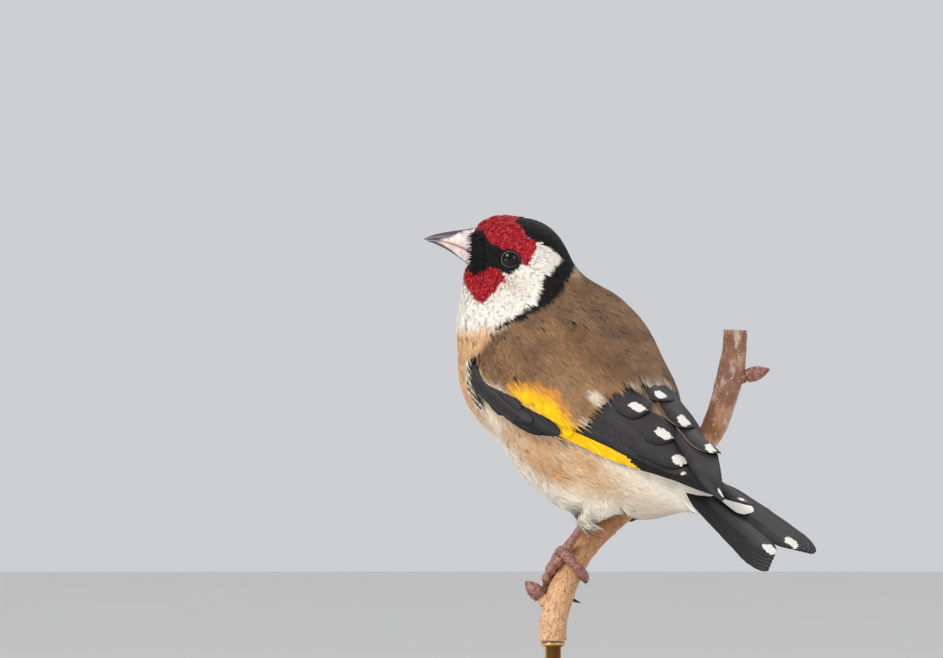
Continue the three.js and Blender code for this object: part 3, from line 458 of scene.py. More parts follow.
class Finish:
    """A material with one shader, and the ways to make what feeds it."""

    def __init__(self, name, **sockets):
        self.material = bpy.data.materials.new(name)
        self.material.use_nodes = True
        self.tree = self.material.node_tree
        self.shader = self.tree.nodes["Principled BSDF"]
        for key, value in sockets.items():
            self.shader.inputs[key.replace("_", " ")].default_value = value

    def node(self, kind, settings=None, output=0, **values):
        made = self.tree.nodes.new(kind)
        for key, value in (settings or {}).items():
            setattr(made, key, value)
        for key, value in values.items():
            socket = made.inputs[key.replace("_", " ")]
            if isinstance(value, Tone):
                self.tree.links.new(value.socket, socket)
            else:
                socket.default_value = value
        return Tone(self.tree, made.outputs[output])

    def place(self, stretch=(1, 1, 1)):
        """Object coordinates in millimetres, squeezed by the stretch."""
        place = self.node("ShaderNodeTexCoord", output="Object")
        return self.node("ShaderNodeMapping", Vector=place, Scale=tuple(1 / MM / part for part in stretch))

    def noise(self, size, where=None, detail=3.0):
        """Noise whose lumps are about the size given, in millimetres."""
        vector = where or self.place()
        return self.node("ShaderNodeTexNoise", Vector=vector, Scale=1 / size, Detail=detail, Roughness=0.55)

    def cells(self, size, where=None):
        """Distance to the middle of the nearest of many cells."""
        vector = where or self.place()
        return self.node("ShaderNodeTexVoronoi", output="Distance", Vector=vector, Scale=1 / size)

    def drawn(self, name, colour=False):
        settings = {"attribute_name": name}
        return self.node("ShaderNodeAttribute", settings, output="Color" if colour else "Fac")

    def mix(self, share, first, second):
        made = self.tree.nodes.new("ShaderNodeMix")
        made.data_type = "RGBA"
        made.clamp_factor = True
        for socket, value in ((made.inputs[0], share), (made.inputs[6], first), (made.inputs[7], second)):
            if isinstance(value, Tone):
                self.tree.links.new(value.socket, socket)
            elif isinstance(value, (int, float)):
                socket.default_value = value
            else:
                socket.default_value = (*value[:3], 1)
        return Tone(self.tree, made.outputs[2])

    def shaded(self, colour, brightness):
        """A colour times a brightness."""
        made = self.tree.nodes.new("ShaderNodeVectorMath")
        made.operation = "SCALE"
        self.tree.links.new(colour.socket, made.inputs[0])
        self.tree.links.new(brightness.socket, made.inputs["Scale"])
        return Tone(self.tree, made.outputs[0])

    def feed(self, **sources):
        for key, source in sources.items():
            self.tree.links.new(source.socket, self.shader.inputs[key.replace("_", " ")])
        return self

    def bump(self, height, depth, strength=1.0):
        """A height of one stands out by the depth, in millimetres."""
        normal = self.node("ShaderNodeBump", Height=height, Distance=depth * MM, Strength=strength)
        return self.feed(Normal=normal)

    def on(self, *pieces):
        for piece in pieces:
            piece.data.materials.clear()
            piece.data.materials.append(self.material)
        return self


def srgb(red, green, blue):
    """Screen colour from 0 to 255 as linear light."""
    screen = np.array([red, green, blue]) / 255
    return np.where(screen <= 0.04045, screen / 12.92, ((screen + 0.055) / 1.055) ** 2.4)


# Markings of the plumage

RED = srgb(146, 12, 32)
# A brighter orange red, painted onto random tufts of the red face as highlights
RED_HIGHLIGHT = srgb(222, 72, 58)
WHITE = srgb(224, 217, 205)
SMUDGE = srgb(200, 184, 162)
BLACK = srgb(17, 15, 16)
MANTLE_BROWN = srgb(108, 81, 58)
MANTLE_WARM = srgb(128, 96, 67)
SCAPULAR_BUFF = srgb(158, 122, 88)
BREAST_BUFF = srgb(206, 158, 114)
FLANK_BROWN = srgb(198, 157, 116)
FLANK_DARK = srgb(188, 142, 98)
BELLY_WHITE = srgb(238, 229, 212)
CREAM = srgb(234, 220, 198)
NAPE_PALE = srgb(204, 180, 146)
YELLOW = srgb(244, 192, 10)
AMBER = srgb(220, 146, 44)
ORANGE = srgb(196, 132, 62)

# Outlines on the side of the head, as (forward, up) in the head's own millimetres
RED_CROWN = [
    (8.7, 8.3), (8.1, 12.5), (-2.2, 12.5), (-1.6, 10.4), (-0.3, 10.0), (-1.4, 9.0), (-2.3, 7.9),
    (-3.1, 6.3), (-5.4, 5.1), (-5.0, 3.3), (-4.4, 1.4), (-3.4, -0.4), (-2.3, 0.6), (-2.0, 2.2),
    (-1.4, 3.2), (1.1, 3.4), (4.1, 4.7), (5.4, 6.3), (6.0, 7.8),
]
RED_CHIN = [
    (11.4, 0.6), (10.0, 0.6), (8.9, -1.0), (8.1, -2.1), (7.6, -1.6), (6.5, -1.0), (5.4, -0.2),
    (3.2, -0.6), (1.6, -1.6), (0.9, -2.4), (1.6, -3.5), (3.0, -4.8), (4.3, -6.2), (5.7, -7.3),
    (6.6, -8.0), (8.1, -7.0), (9.2, -5.1), (10.8, -2.7),
]
BLACK_LORE = [
    (8.9, 9.3), (7.6, 8.7), (6.1, 8.6), (5.4, 8.2), (4.9, 6.8), (3.6, 5.4), (0.9, 4.2), (-1.6, 3.9),
    (-2.6, 2.4), (-2.3, 0.6), (-1.4, -0.8), (0.3, -1.7), (2.0, -1.6), (3.6, -1.2), (5.4, -1.0),
    (6.5, -1.7), (7.4, -2.6), (7.8, -4.4), (8.4, -3.6), (9.2, -1.6), (10.6, 0.9), (11.4, 1.1),
]
WHITE_CHEEK = [
    (14, 7), (7.6, 7), (-2, 7), (-5.4, 6.4), (-7.6, 6.0), (-10.0, 4.2), (-12.0, 1.4), (-10.8, -0.9),
    (-9.2, -2.5), (-7.8, -3.6), (-7.4, -5.3), (-6.2, -9.2), (-2.8, -10.8), (0.6, -12.6), (4.3, -13.8),
    (8.1, -14.1), (11.4, -14.2), (16, -14.2),
]
BLACK_CAP = [
    (-1.6, 13.5), (-19.0, 13.5), (-19.0, 3.3), (-13.6, 0.0), (-12.9, -1.5), (-11.9, -3.8), (-10.7, -5.9),
    (-8.7, -8.1), (-5.4, -9.9), (-1.6, -11.8), (1.6, -13.2), (4.3, -13.7), (1.4, -12.2), (-1.3, -10.4),
    (-5.2, -8.2), (-6.5, -4.8), (-6.8, -2.7), (-8.4, -1.6), (-9.8, -0.2), (-10.9, 1.4), (-9.0, 3.3),
    (-7.1, 4.8),
    (-5.4, 5.1), (-3.1, 6.3), (-2.3, 7.9), (-1.4, 9.0), (-0.3, 10.0), (-1.6, 10.4),
]


def inside_outline(x, y, outline):
    """Distance in from an outline, under 0 outside it."""
    outline = np.asarray(outline, float)
    nearest = np.full(x.shape, 1e9)
    crossings = np.zeros(x.shape, int)
    for (x0, y0), (x1, y1) in zip(outline, np.roll(outline, -1, axis=0)):
        run, rise = x1 - x0, y1 - y0
        share = np.clip(((x - x0) * run + (y - y0) * rise) / (run * run + rise * rise), 0, 1)
        nearest = np.minimum(nearest, np.hypot(x - x0 - share * run, y - y0 - share * rise))
        if rise:
            crossings += ((y0 > y) != (y1 > y)) & (x < x0 + run * (y - y0) / rise)
    return np.where(crossings % 2 == 1, nearest, -nearest)


def lay(colour, share, over):
    return colour + (over - colour) * share[..., None]


def egg(x, y, centre, reach):
    """1 in the middle of a soft egg-shaped patch and 0 outside it."""
    far = np.hypot((x - centre[0]) / reach[0], (y - centre[1]) / reach[1])
    return 1 - smooth(far, 0.3, 1)


def near_line(x, y, line, width):
    """1 on a line, and 0 further from it than the width."""
    nearest = np.full(x.shape, 1e9)
    for (x0, y0), (x1, y1) in zip(line[:-1], line[1:]):
        run, rise = x1 - x0, y1 - y0
        share = np.clip(((x - x0) * run + (y - y0) * rise) / (run * run + rise * rise), 0, 1)
        nearest = np.minimum(nearest, np.hypot(x - x0 - share * run, y - y0 - share * rise))
    return 1 - smooth(nearest, 0.3 * width, width)


# The front edge of the folded arm, as (along, high) from the side
WING_BEND = [(1.5, 3.6), (1.6, 1.4), (2.3, -0.6), (3.6, -2.6), (4.6, -3.6)]
BAR_PERIOD = 1.25

# Outlines on the wing map, as (along, angle); a degree counts as DEGREE_MM of breadth
DEGREE_MM = 0.3
YELLOW_COVERTS = [
    (15.6, 9.2), (15.8, 5), (19.4, 1), (24.5, 0), (29.4, -6), (37, -6), (33.5, 4), (31.9, 6.6),
    (28.6, 12.5), (26.0, 18.0), (20.6, 17.2), (18.0, 12.2),
]
BARE_WING = [
    (2.5, 6), (5.4, -3), (9.5, -9.5), (16.4, -11.5), (22.6, -11), (29.7, -12), (39, -13), (49, -10),
    (56, -6), (64, 2), (76, 40), (82, 60), (82, 100), (35.5, 100), (33.5, 88), (32.0, 60), (30.6, 36),
    (30.2, 12), (28.6, 3), (27.2, 0), (23.6, 1.5), (17.8, 2.0), (10.8, 3.4), (6.2, 6.4),
]


def on_map(along, angle, outline):
    return inside_outline(along, angle * DEGREE_MM, [(a, b * DEGREE_MM) for a, b in outline])


def markings(points, raggedness=0.25):
    """The colour of the small feathers at each place, in bird millimetres."""
    forward, _, up = head_view(points)
    ragged = ripple(points, 0.9, 3) * raggedness
    edge = lambda outline, width: smooth(inside_outline(forward, up, outline) + ragged, -width, width)
    side = np.abs(points[..., 1])
    along, high = from_back(points)
    angle = np.degrees(np.arctan2(high, side))
    low = points[..., 2]
    cloud = ripple(points, 3.5, 8)
    colour = np.broadcast_to(BELLY_WHITE, points.shape).copy()
    breast = smooth(low, -8, 2) * (1 - smooth(along, 5, 14)) * smooth(side + 0.35 * (low - 6), 1, 8)
    colour = lay(colour, 0.95 * breast, BREAST_BUFF)
    sides = egg(along, high, (28, -7.8), (29, 8.2))
    colour = lay(colour, np.clip(0.95 * sides + 0.12 * cloud * sides, 0, 1), FLANK_BROWN)
    colour = lay(colour, 0.6 * egg(along, high, (27, -10.5), (9, 3.2)), FLANK_DARK)
    strip = near_line(along, high, [(0.5, 0.5), (2.1, -2.4), (5.3, -5.6), (9.5, -8.0)], 2.8)
    colour = lay(colour, 0.85 * strip, CREAM)
    border = 0.2 + 0.46 * np.minimum(high, 13) - 0.9 * np.maximum(high - 13, 0)
    upper = smooth(angle + 3 * cloud, 1, 9) * smooth(along - border + 0.5 * cloud, -1.3, 1.6)
    mantle = MANTLE_BROWN + (MANTLE_WARM - MANTLE_BROWN) * smooth(cloud, -0.8, 0.9)[..., None]
    colour = colour + (mantle - colour) * upper[..., None]
    scapular = smooth(along, 16, 30) * (1 - smooth(angle, 30, 58)) * smooth(angle, 6, 12)
    colour = lay(colour, 0.55 * scapular, SCAPULAR_BUFF)
    breadth = angle * DEGREE_MM
    tips = np.maximum(
        egg(along, breadth, (34.0, 2.8), (2.6, 1.7)), egg(along, breadth, (33, 9.6), (3.0, 2.2))
    )
    colour = lay(colour, 0.6 * tips, CREAM)
    gold = on_map(along, angle, YELLOW_COVERTS) + 0.5 * ripple(points, 1.2, 5)
    colour = lay(colour, 0.85 * smooth(gold, -1.7, 0.3), ORANGE)
    sunny = lay(np.broadcast_to(YELLOW, points.shape), 0.9 * smooth(angle, 6, 17), AMBER)
    colour = colour + (sunny - colour) * smooth(gold, -0.5, 1.8)[..., None]
    rump = smooth(along, 34, 40) * smooth(angle, 20, 40)
    colour = lay(colour, rump, BELLY_WHITE)
    nape = np.linalg.norm((points - np.array([7.4, 1.0, 30.5])) / np.array([5, 6, 4.5]), axis=-1)
    colour = lay(colour, 0.6 * (1 - smooth(nape, 0.4, 1)), NAPE_PALE)
    hem = 0.3 + 1.5 * smooth(-up, 10.5, 13) * smooth(forward, -2, 4)
    colour = lay(colour, edge(WHITE_CHEEK, hem), WHITE)
    colour = lay(colour, 0.45 * egg(forward, up, (-0.5, -4.0), (5, 3)), SMUDGE)
    colour = lay(colour, edge(BLACK_CAP, 0.2), BLACK)
    colour = lay(colour, edge(BLACK_LORE, 0.2), BLACK)
    colour = lay(colour, edge(RED_CROWN, 0.2), RED)
    colour = lay(colour, edge(RED_CHIN, 0.2), RED)
    return colour


# Skin


def pushed_out(field, start, end, level):
    """A ball stretched from start to end and pushed out to a level of the field, as a bmesh."""
    start, end = np.asarray(start, float), np.asarray(end, float)
    bm = bmesh.new()
    bmesh.ops.create_icosphere(bm, subdivisions=6, radius=1)
    ball = np.array([vertex.co[:] for vertex in bm.verts])
    middle = (start + end) / 2
    half = (end - start) / 2
    axis = unit(half) if np.linalg.norm(half) else UP
    rise = ball @ axis
    origins = middle + rise[:, None] * half
    rays = unit(ball * 12)
    placed = to_row(on_ray(field, origins, rays, level))
    for vertex, point in zip(bm.verts, placed):
        vertex.co = point
    return bm


def coat_depth(points):
    """How deep the skin lies under the tips of the small feathers."""
    from_face = far_from(points, on_head(2, 0, -1))
    return 0.2 + 0.6 * smooth(from_face, 12, 28)


SKIN_VOXEL = 0.6
# The skin between the locks is painted darker than the coat's colours: painted shade in the gaps of the coat
SKIN_PAINTED_SHADE = 0.82


def make_skin():
    grounds = [
        (plumage_field, on_head(-2.5, 0, 1), on_head(1, 0, -3)),
        (plumage_field, (16, 2, 19), (16, 2, 19.01)),
        (plumage_field, (17, 0, 5), (-27, 0, -16)),
    ]
    for side, (hip, heel, cuff) in THIGHS.items():
        one_thigh = lambda points, side=side: thigh_field(points, side)
        grounds += [(one_thigh, hip[0], heel[0]), (one_thigh, heel[0], cuff[0])]
    whole = bmesh.new()
    for field, start, end in grounds:
        bm = pushed_out(field, start, end, -SKIN_VOXEL)
        part = bpy.data.meshes.new("part")
        bm.to_mesh(part)
        bm.free()
        whole.from_mesh(part)
        bpy.data.meshes.remove(part)
    rough = finish_bmesh("skin_rough", whole)
    remesh = rough.modifiers.new("one_skin", "REMESH")
    remesh.mode = "VOXEL"
    remesh.voxel_size = SKIN_VOXEL * MM
    evaluated = rough.evaluated_get(bpy.context.evaluated_depsgraph_get())
    mesh = bpy.data.meshes.new_from_object(evaluated)
    bpy.data.objects.remove(rough)
    points = from_row(mesh_points(mesh))
    points = settle(plumage_field, points, -coat_depth(points), rounds=4)
    mesh.vertices.foreach_set("co", to_row(points).astype(np.float32).ravel())
    mesh.update()
    mesh.shade_smooth()
    set_attribute(mesh, "tint", markings(points) * SKIN_PAINTED_SHADE)
    mesh.name = "skin"
    return new_piece("skin", mesh), points


skin, skin_points = make_skin()


# The coat of small feathers

BILL_ROOT = on_head(9.5, 0, 2.0)
EYE_FORWARD, EYE_UP, EYE_RADIUS = 0.38, 1.54, 2.5
LOCK_SIDES = 3
LOCK_POINTS = 2 * LOCK_SIDES + 1


def near_thigh(points):
    thigh = np.zeros(points.shape[:-1])
    for _, heel, cuff in THIGHS.values():
        from_heel = far_from(points, heel[0])
        from_cuff = far_from(points, cuff[0]) + 1.5
        thigh = np.maximum(thigh, 1 - smooth(np.minimum(from_heel, from_cuff), 3.8, 6.5))
    return thigh


def lie(points):
    """The way the feathers point, away from the bill on the head and down the back on the body."""
    away = unit(points - BILL_ROOT)
    rearward = unit(BACK + np.array([0, 0, -0.12]))
    share = smooth(far_from(points, BILL_ROOT), 20, 62)[..., None]
    thigh = near_thigh(points)
    down = unit(np.array([-0.4, 0, -0.9]))
    flow = away * (1 - share) + rearward * share
    return unit(flow * (1 - thigh[..., None]) + down * thigh[..., None])


def wing_shows(points):
    """Where the flight feathers and coverts lie bare, so that no small feathers root there."""
    shows = np.zeros(points.shape[:-1], bool)
    for sign in (1, -1):
        along, angle = wing_place(points, sign)
        shows |= on_map(along, angle, BARE_WING) > 0
    return shows


def sample_roots(count_scale, keep, density, seed):
    """Random root places on the skin, about density() to a square millimetre where keep() holds."""
    mesh = skin.data
    mesh.calc_loop_triangles()
    corners = np.zeros(len(mesh.loop_triangles) * 3, np.int32)
    mesh.loop_triangles.foreach_get("vertices", corners)
    a, b, c = skin_points[corners.reshape(-1, 3)].transpose(1, 0, 2)
    centre = (a + b + c) / 3
    area = np.linalg.norm(np.cross(b - a, c - a), axis=1) / 2
    weight = area * density(centre) * keep(centre) * count_scale
    draw = np.random.default_rng(seed)
    chosen = draw.choice(len(weight), int(weight.sum()), p=weight / weight.sum())
    u, v = draw.uniform(size=(2, len(chosen), 1))
    over = u + v > 1
    u, v = np.where(over, 1 - u, u), np.where(over, 1 - v, v)
    return a[chosen] + u * (b[chosen] - a[chosen]) + v * (c[chosen] - a[chosen])


SPINE = np.array(
    [[-31, 0, -18], [-14, 0, -11], [6, 0, 0], [16, 1, 12], [17, 4, 22], [17.5, 7, 31], [21, 9.5, 36]]
)


def unwrapped(points):
    """Where a place of the skin lies on its unwrap: round the bent spine, and along it."""
    best = np.full(points.shape[:-1], 1e9)
    along = np.zeros(points.shape[:-1])
    turn = np.zeros(points.shape[:-1])
    passed = 0.0
    for start, end in zip(SPINE[:-1], SPINE[1:]):
        run = end - start
        length = np.linalg.norm(run)
        ahead = (points - start) @ run / length
        share = np.clip(ahead / length, 0, 1)
        off = points - start - share[..., None] * run
        far = np.linalg.norm(off, axis=-1)
        closer = far < best
        side = unit(np.cross(run, [0, 1.0, 0]))
        best = np.where(closer, far, best)
        along = np.where(closer, passed + 0.5 * share * length + 0.5 * ahead, along)
        turn = np.where(closer, np.arctan2(off[..., 1], off @ side), turn)
        passed += length
    around = 0.02 + 0.96 * (turn / (2 * math.pi) + 0.5)
    return np.stack([around, np.clip(0.08 + 0.86 * along / passed, 0.01, 0.99)], -1)


def only_markings(places, draw):
    return markings(places)


def red_with_highlights(places, draw):
    """Red with painted highlights: random tufts are mixed towards a brighter orange red."""
    highlight_share = draw.uniform(size=len(places)) ** 2
    return lay(markings(places), 0.5 * highlight_share * is_red(places), RED_HIGHLIGHT)


def barred(places, draw):
    """Black and white strokes side by side, on the front edge of the folded arm."""
    along, high = from_back(places)
    phase = (0.95 * high + 0.3 * along) / BAR_PERIOD
    dark = smooth(np.sin(2 * math.pi * phase), -0.3, 0.0)
    return lay(np.broadcast_to(BELLY_WHITE, places.shape), dark, BLACK)


def all_black(places, draw):
    return np.broadcast_to(BLACK, places.shape)


def grow(roots, length, width, locks, depth, lift, seed, slim, splay=0.06, puff=0.1, flow=None, tints=None):
    """Tufts of tapered locks on root places: points, triangles, unwrap places, facings and colours.

    They lie along the plumage, or stand out freely where a flow is given.
    """
    draw = np.random.default_rng(seed)
    count = len(roots)
    normal = unit(slope(plumage_field, roots))
    free = flow is not None
    flow = flow(roots) if free else lie(roots)
    if not free:
        flow = unit(flow - normal * (flow * normal).sum(-1, keepdims=True))
    flow = unit(flow + 0.09 * draw.normal(size=(count, 1)) * np.cross(normal, flow))
    across = unit(np.cross(normal, flow))
    shares = np.array([0.0, 0.52, 1.0])
    breadth = np.array([0.7, 1.0, 0.0])
    spread = np.linspace(-1, 1, locks)[None, :, None]
    jitter = draw.normal(size=(3, count, locks, 1))
    reach = (length[:, None, None] * (1 - 0.2 * spread**2) * (1 + 0.16 * jitter[0])) * shares
    aside = width[:, None, None] * (spread * 0.42 + 0.08 * jitter[1]) * (0.6 + 0.4 * shares)
    aside = aside + splay * spread * reach * shares + 0.035 * jitter[2] * reach * shares
    line = (
        roots[:, None, None, :]
        + flow[:, None, None, :] * reach[..., None]
        + across[:, None, None, :] * aside[..., None]
    )
    tip_height = lift[:, None] + puff * draw.uniform(-1, 1, size=(count, locks))
    start = -depth[:, None] - 0.15
    rise = (tip_height - start)[..., None] * np.array([0, 0.86, 1.0])
    if free:
        line = line + normal[:, None, None, :] * rise[..., None]
    else:
        for _ in range(2):
            miss = start[..., None] + rise - plumage_field(line.reshape(-1, 3)).reshape(line.shape[:-1])
            line = line + normal[:, None, None, :] * np.clip(miss, -1.5, 1.5)[..., None]
    half = (slim[:, None, None] * breadth * (1 + 0.2 * jitter[1]))[..., None]
    side = np.broadcast_to(across[:, None, None, :], line.shape)
    up = np.broadcast_to(normal[:, None, None, :], line.shape)
    rings = np.stack([line - side * half, line + side * half, line + up * half * 0.3], 3)
    body = rings[:, :, :2].reshape(count * locks, 6, 3)
    tips = line[:, :, 2].reshape(count * locks, 1, 3)
    points = np.concatenate([body, tips], 1)
    pattern = [(0, 2, 1)]
    for corner in range(LOCK_SIDES):
        after = (corner + 1) % LOCK_SIDES
        pattern += [(corner, after, after + 3), (corner, after + 3, corner + 3), (corner + 3, after + 3, 6)]
    pattern = np.array(pattern)
    triangles = pattern[None] + (np.arange(count * locks) * LOCK_POINTS)[:, None, None]
    seen = (line[:, :, 1] * 0.45 + line[:, :, 2] * 0.55).reshape(-1, 3)
    tint = (tints or only_markings)(seen, draw)
    paleness = smooth(tint[:, 1], 0.1, 0.6)
    vary = 0.17 - 0.12 * paleness
    light = 1 + 0.3 * draw.normal(size=(count, 1)) + draw.normal(size=(count, locks))
    light = np.clip(light.reshape(-1) * vary + 1 - vary, 0.74, 1.32)
    # Painted shade and highlight along each lock: the root is painted darker as the shade under the locks
    # over it, the sides darker than the ridge, and the tip brighter as a highlight; pale locks get less of
    # both
    shadow = 0.5 + 0.38 * paleness
    painted_shade_and_highlight = np.array([0, 0, 0, 0.82, 0.82, 0.95, 1.2])
    painted_shade_and_highlight = shadow[:, None] + (1 - shadow)[:, None] * painted_shade_and_highlight
    colours = tint[:, None, :] * light[:, None, None] * painted_shade_and_highlight[..., None]
    upright = normal[:, None, None, :]
    sideways = across[:, None, None, :] * (0.5 * np.array([-1, 1, 0, -1, 1, 0, 0]))[:, None]
    turned = np.broadcast_to(unit(upright + sideways), (count, locks, LOCK_POINTS, 3))
    facing = np.stack([turned[..., 1], -turned[..., 0], turned[..., 2]], -1)
    steps = np.array([-1, -1, -0.8, 0.1, 0.1, 0.3, 1.0])
    local = [np.broadcast_to(part, (count, locks, LOCK_POINTS)) for part in (spread, steps)]
    patches = unwrapped(roots)[:, None, None, :] + 0.0015 * np.stack(local, -1)
    return (
        to_row(points.reshape(-1, 3)),
        triangles.reshape(-1, 3),
        patches.reshape(-1, 2),
        facing.reshape(-1, 3),
        np.clip(colours.reshape(-1, 3), 0, 1),
    )


LOCKS_A_PIECE = 18000


def face_far(points):
    return far_from(points, on_head(3, 0, 0))


def is_red(points):
    forward, _, up = head_view(points)
    inside = np.maximum(inside_outline(forward, up, RED_CROWN), inside_outline(forward, up, RED_CHIN))
    return (inside > -0.3) & (face_far(points) < 16)


def on_face(points):
    return (face_far(points) < 14) & (head_view(points)[2] > -9)


def clear_of_bill(points):
    forward, _, up = head_view(points)
    return (forward < 6.3) | (up < 0.0) | (up > 8.4)


def eye_clear(points):
    forward, _, up = head_view(points)
    return np.hypot((forward - EYE_FORWARD) / 1.08, up - EYE_UP) > 1.75


def at_bill(points):
    forward, _, up = head_view(points)
    return (forward > 5.4) & (forward < 8.2) & (up > -0.8) & (up < 9.2) & (face_far(points) < 9)


def at_bend(points):
    """The front edge of the folded arm, where black and white tips alternate."""
    along, high = from_back(points)
    return (near_line(along, high, WING_BEND, 1.3) > 0.02) & (np.abs(points[:, 1]) > 7)


def in_pieces(name, seed, roots, length, width, locks, slim, lift, **options):
    """Tufts on root places, in pieces that lie side by side."""
    fields = [np.broadcast_to(part, len(roots)) for part in (length, width, coat_depth(roots), lift, slim)]
    order = np.lexsort((roots[:, 1] > 0, np.floor(roots[:, 0] / 9)))
    pieces = []
    parts = max(1, math.ceil(len(roots) * locks / LOCKS_A_PIECE))
    for index, span in enumerate(np.array_split(order, parts)):
        length_, width_, depth_, lift_, slim_ = (part[span] for part in fields)
        places, triangles, patches, facing, colours = grow(
            roots[span], length_, width_, locks, depth_, lift_, seed * 100 + index, slim_, **options
        )
        name_ = f"coat_{name}_{index + 1}"
        pieces.append(mesh_from_arrays(name_, places, triangles, patches, facing, tint=colours))
    return pieces


def forward_flow(points):
    """Out of the face over the root of the bill, a little outwards."""
    return unit(HEAD_FORWARD + 0.4 * unit(points - on_head(6, 0, 4)) + np.array([0, 0, -0.05]))


def make_coat():
    scale = 1.0
    even = lambda rate: lambda p: rate + 0 * p[:, 0]
    roots = sample_roots(scale, lambda p: is_red(p) & eye_clear(p) & clear_of_bill(p), even(4.4), 11)
    pieces = in_pieces(
        "red_face", 11, roots, length=1.05, width=0.5, locks=2, slim=0.2, lift=0.05, puff=0.1, tints=red_with_highlights
    )
    other = lambda p: on_face(p) & ~is_red(p) & eye_clear(p) & clear_of_bill(p)
    roots = sample_roots(scale, other, even(4.4), 12)
    far = smooth(face_far(roots), 5, 14)
    pieces += in_pieces(
        "face", 12, roots, length=1.2 + 1.0 * far, width=0.55 + 0.3 * far, locks=5,
        slim=0.085 + 0.02 * far, lift=0.04, puff=0.05,
    )
    before_tail = lambda p: from_back(p)[0] < 57
    body = lambda p: ~on_face(p) & ~is_red(p) & ~wing_shows(p) & before_tail(p)
    roots = sample_roots(scale, body, lambda p: 3.1 - 1.4 * smooth(face_far(p), 12, 28), 13)
    far = smooth(face_far(roots), 12, 30)
    low = smooth(-roots[:, 2], 0, 16)
    pieces += in_pieces(
        "body", 13, roots, length=(2.4 + 2.5 * far + 1.6 * low) * (1 - 0.5 * near_thigh(roots)),
        width=0.95 + 0.75 * far, locks=8, slim=0.1 + 0.035 * far,
        lift=0.05 + 0.1 * far + 0.08 * low, puff=0.06,
    )
    roots = sample_roots(1.0, at_bend, even(6.0), 15)
    pieces += in_pieces(
        "wing_bend", 15, roots, length=1.9, width=0.45, locks=4, slim=0.09, lift=1.3, puff=0.1, tints=barred
    )
    roots = sample_roots(1.0, at_bill, even(5.0), 14)
    pieces += in_pieces(
        "bristles", 14, roots, length=1.5, width=0.5, locks=3, slim=0.07, lift=0.05,
        flow=forward_flow, tints=all_black,
    )
    return pieces


coat = make_coat()


# Flight feathers, coverts and tail as vanes


class Surface:
    """What a set of vanes lies on: its field, its side, and the way its places are given."""

    def __init__(self, sign, field, lift=None):
        self.sign = sign
        self.field = field
        self.lift = lift or (lambda points: 0.0)

    def place(self, along, angle, height):
        lifted = lambda points: self.field(points) - self.lift(points)
        turn = np.radians(angle)[..., None]
        rays = np.cos(turn) * np.array([0, float(self.sign), 0]) + np.sin(turn) * DORSAL
        return on_ray(lifted, BACK_START + along[..., None] * BACK, rays, height)

    def normal(self, points):
        return unit(slope(self.field, points))

    def settle(self, points, height):
        return settle(self.field, points, height + self.lift(points), 2)


CROSSING_LIFT = 2.3


def crossing_lift(points):
    """The right wing rises over the left one where it passes the middle of the back."""
    back = smooth(from_back(points)[0], 44, 57)
    return CROSSING_LIFT * back * smooth(points[..., 1], -5, 1.5)


TAIL_ROOT = np.array([-17.5, 0, -9])
TAIL_SLOPE = math.radians(29.9)
TAIL_ROLL = math.radians(19)
TAIL_BACK = np.array([-math.cos(TAIL_SLOPE), 0, -math.sin(TAIL_SLOPE)])
LEVEL_UP = np.array([-math.sin(TAIL_SLOPE), 0, math.cos(TAIL_SLOPE)])
TAIL_UP = LEVEL_UP * math.cos(TAIL_ROLL) + np.cross(TAIL_BACK, LEVEL_UP) * math.sin(TAIL_ROLL)
TAIL_LEFT = np.cross(TAIL_BACK, TAIL_UP)


class TailSurface:
    """The plane of the tail, with places given as along, left and height."""

    sign = 1

    def place(self, along, left, height):
        along, left, height = along[..., None], left[..., None], height[..., None]
        return TAIL_ROOT + along * TAIL_BACK + left * TAIL_LEFT + height * TAIL_UP

    def normal(self, points):
        return np.broadcast_to(TAIL_UP, points.shape)

    def settle(self, points, height):
        rise = (points - TAIL_ROOT) @ TAIL_UP
        return points + (height - rise)[..., None] * TAIL_UP


def feather(path, width, heights, **traits):
    """One vane: its middle line, its breadth and how high it lies at its root and its tip."""
    made = {
        "path": path, "width": width, "heights": heights, "hand": 1, "roll": 0.12, "round": 0.8, "lean": 0.0,
        "mark": None, "gold": 0.0, "fringe": -1.0, "black": 1.0, "rise": 1.0, "brown": 0.0,
    }
    made.update(traits)
    return made


def feather_row(count, first, last, marks=None, **traits):
    """Feathers that change evenly from the first to the last, some of them with a white mark.

    A trait in a tuple is the first feather's and the last one's.
    """
    at_end = lambda end: {key: one[end] if isinstance(one, tuple) else one for key, one in traits.items()}
    first, last = feather(*first, **at_end(0)), feather(*last, **at_end(1))
    row = []
    for index in range(count):
        share = index / max(count - 1, 1)
        mixed = {"hand": first["hand"], "mark": (marks or {}).get(index)}
        for key, value in first.items():
            if key not in mixed:
                mixed[key] = np.asarray(value, float) * (1 - share) + np.asarray(last[key], float) * share
        row.append(mixed)
    return row


def tertial(path, width, heights, mark, **traits):
    return feather(path, width, heights, mark=mark, roll=0.05, **{"fringe": 0.32, **traits})


VANE_ROWS = 26
VANE_COLUMNS = np.array([-1, -0.82, -0.55, -0.26, -0.07, 0, 0.07, 0.26, 0.55, 0.82, 1])
VANE_SHARES = 1 - (1 - np.linspace(0, 1, VANE_ROWS)) ** 1.5
VANE_ARCH = 0.1


def vane_outline(roundness):
    """Half the breadth of a vane at each share of its length, from its root to its tip."""
    root = 0.45 + 0.55 * smooth(VANE_SHARES, 0, 0.25)
    start = 0.45 + 0.5 * roundness
    end = np.clip((VANE_SHARES - start) / (1 - start), 0, 1)
    return root * np.sqrt(np.clip(1 - end**2.2, 0, 1)) * 0.985 + 0.015


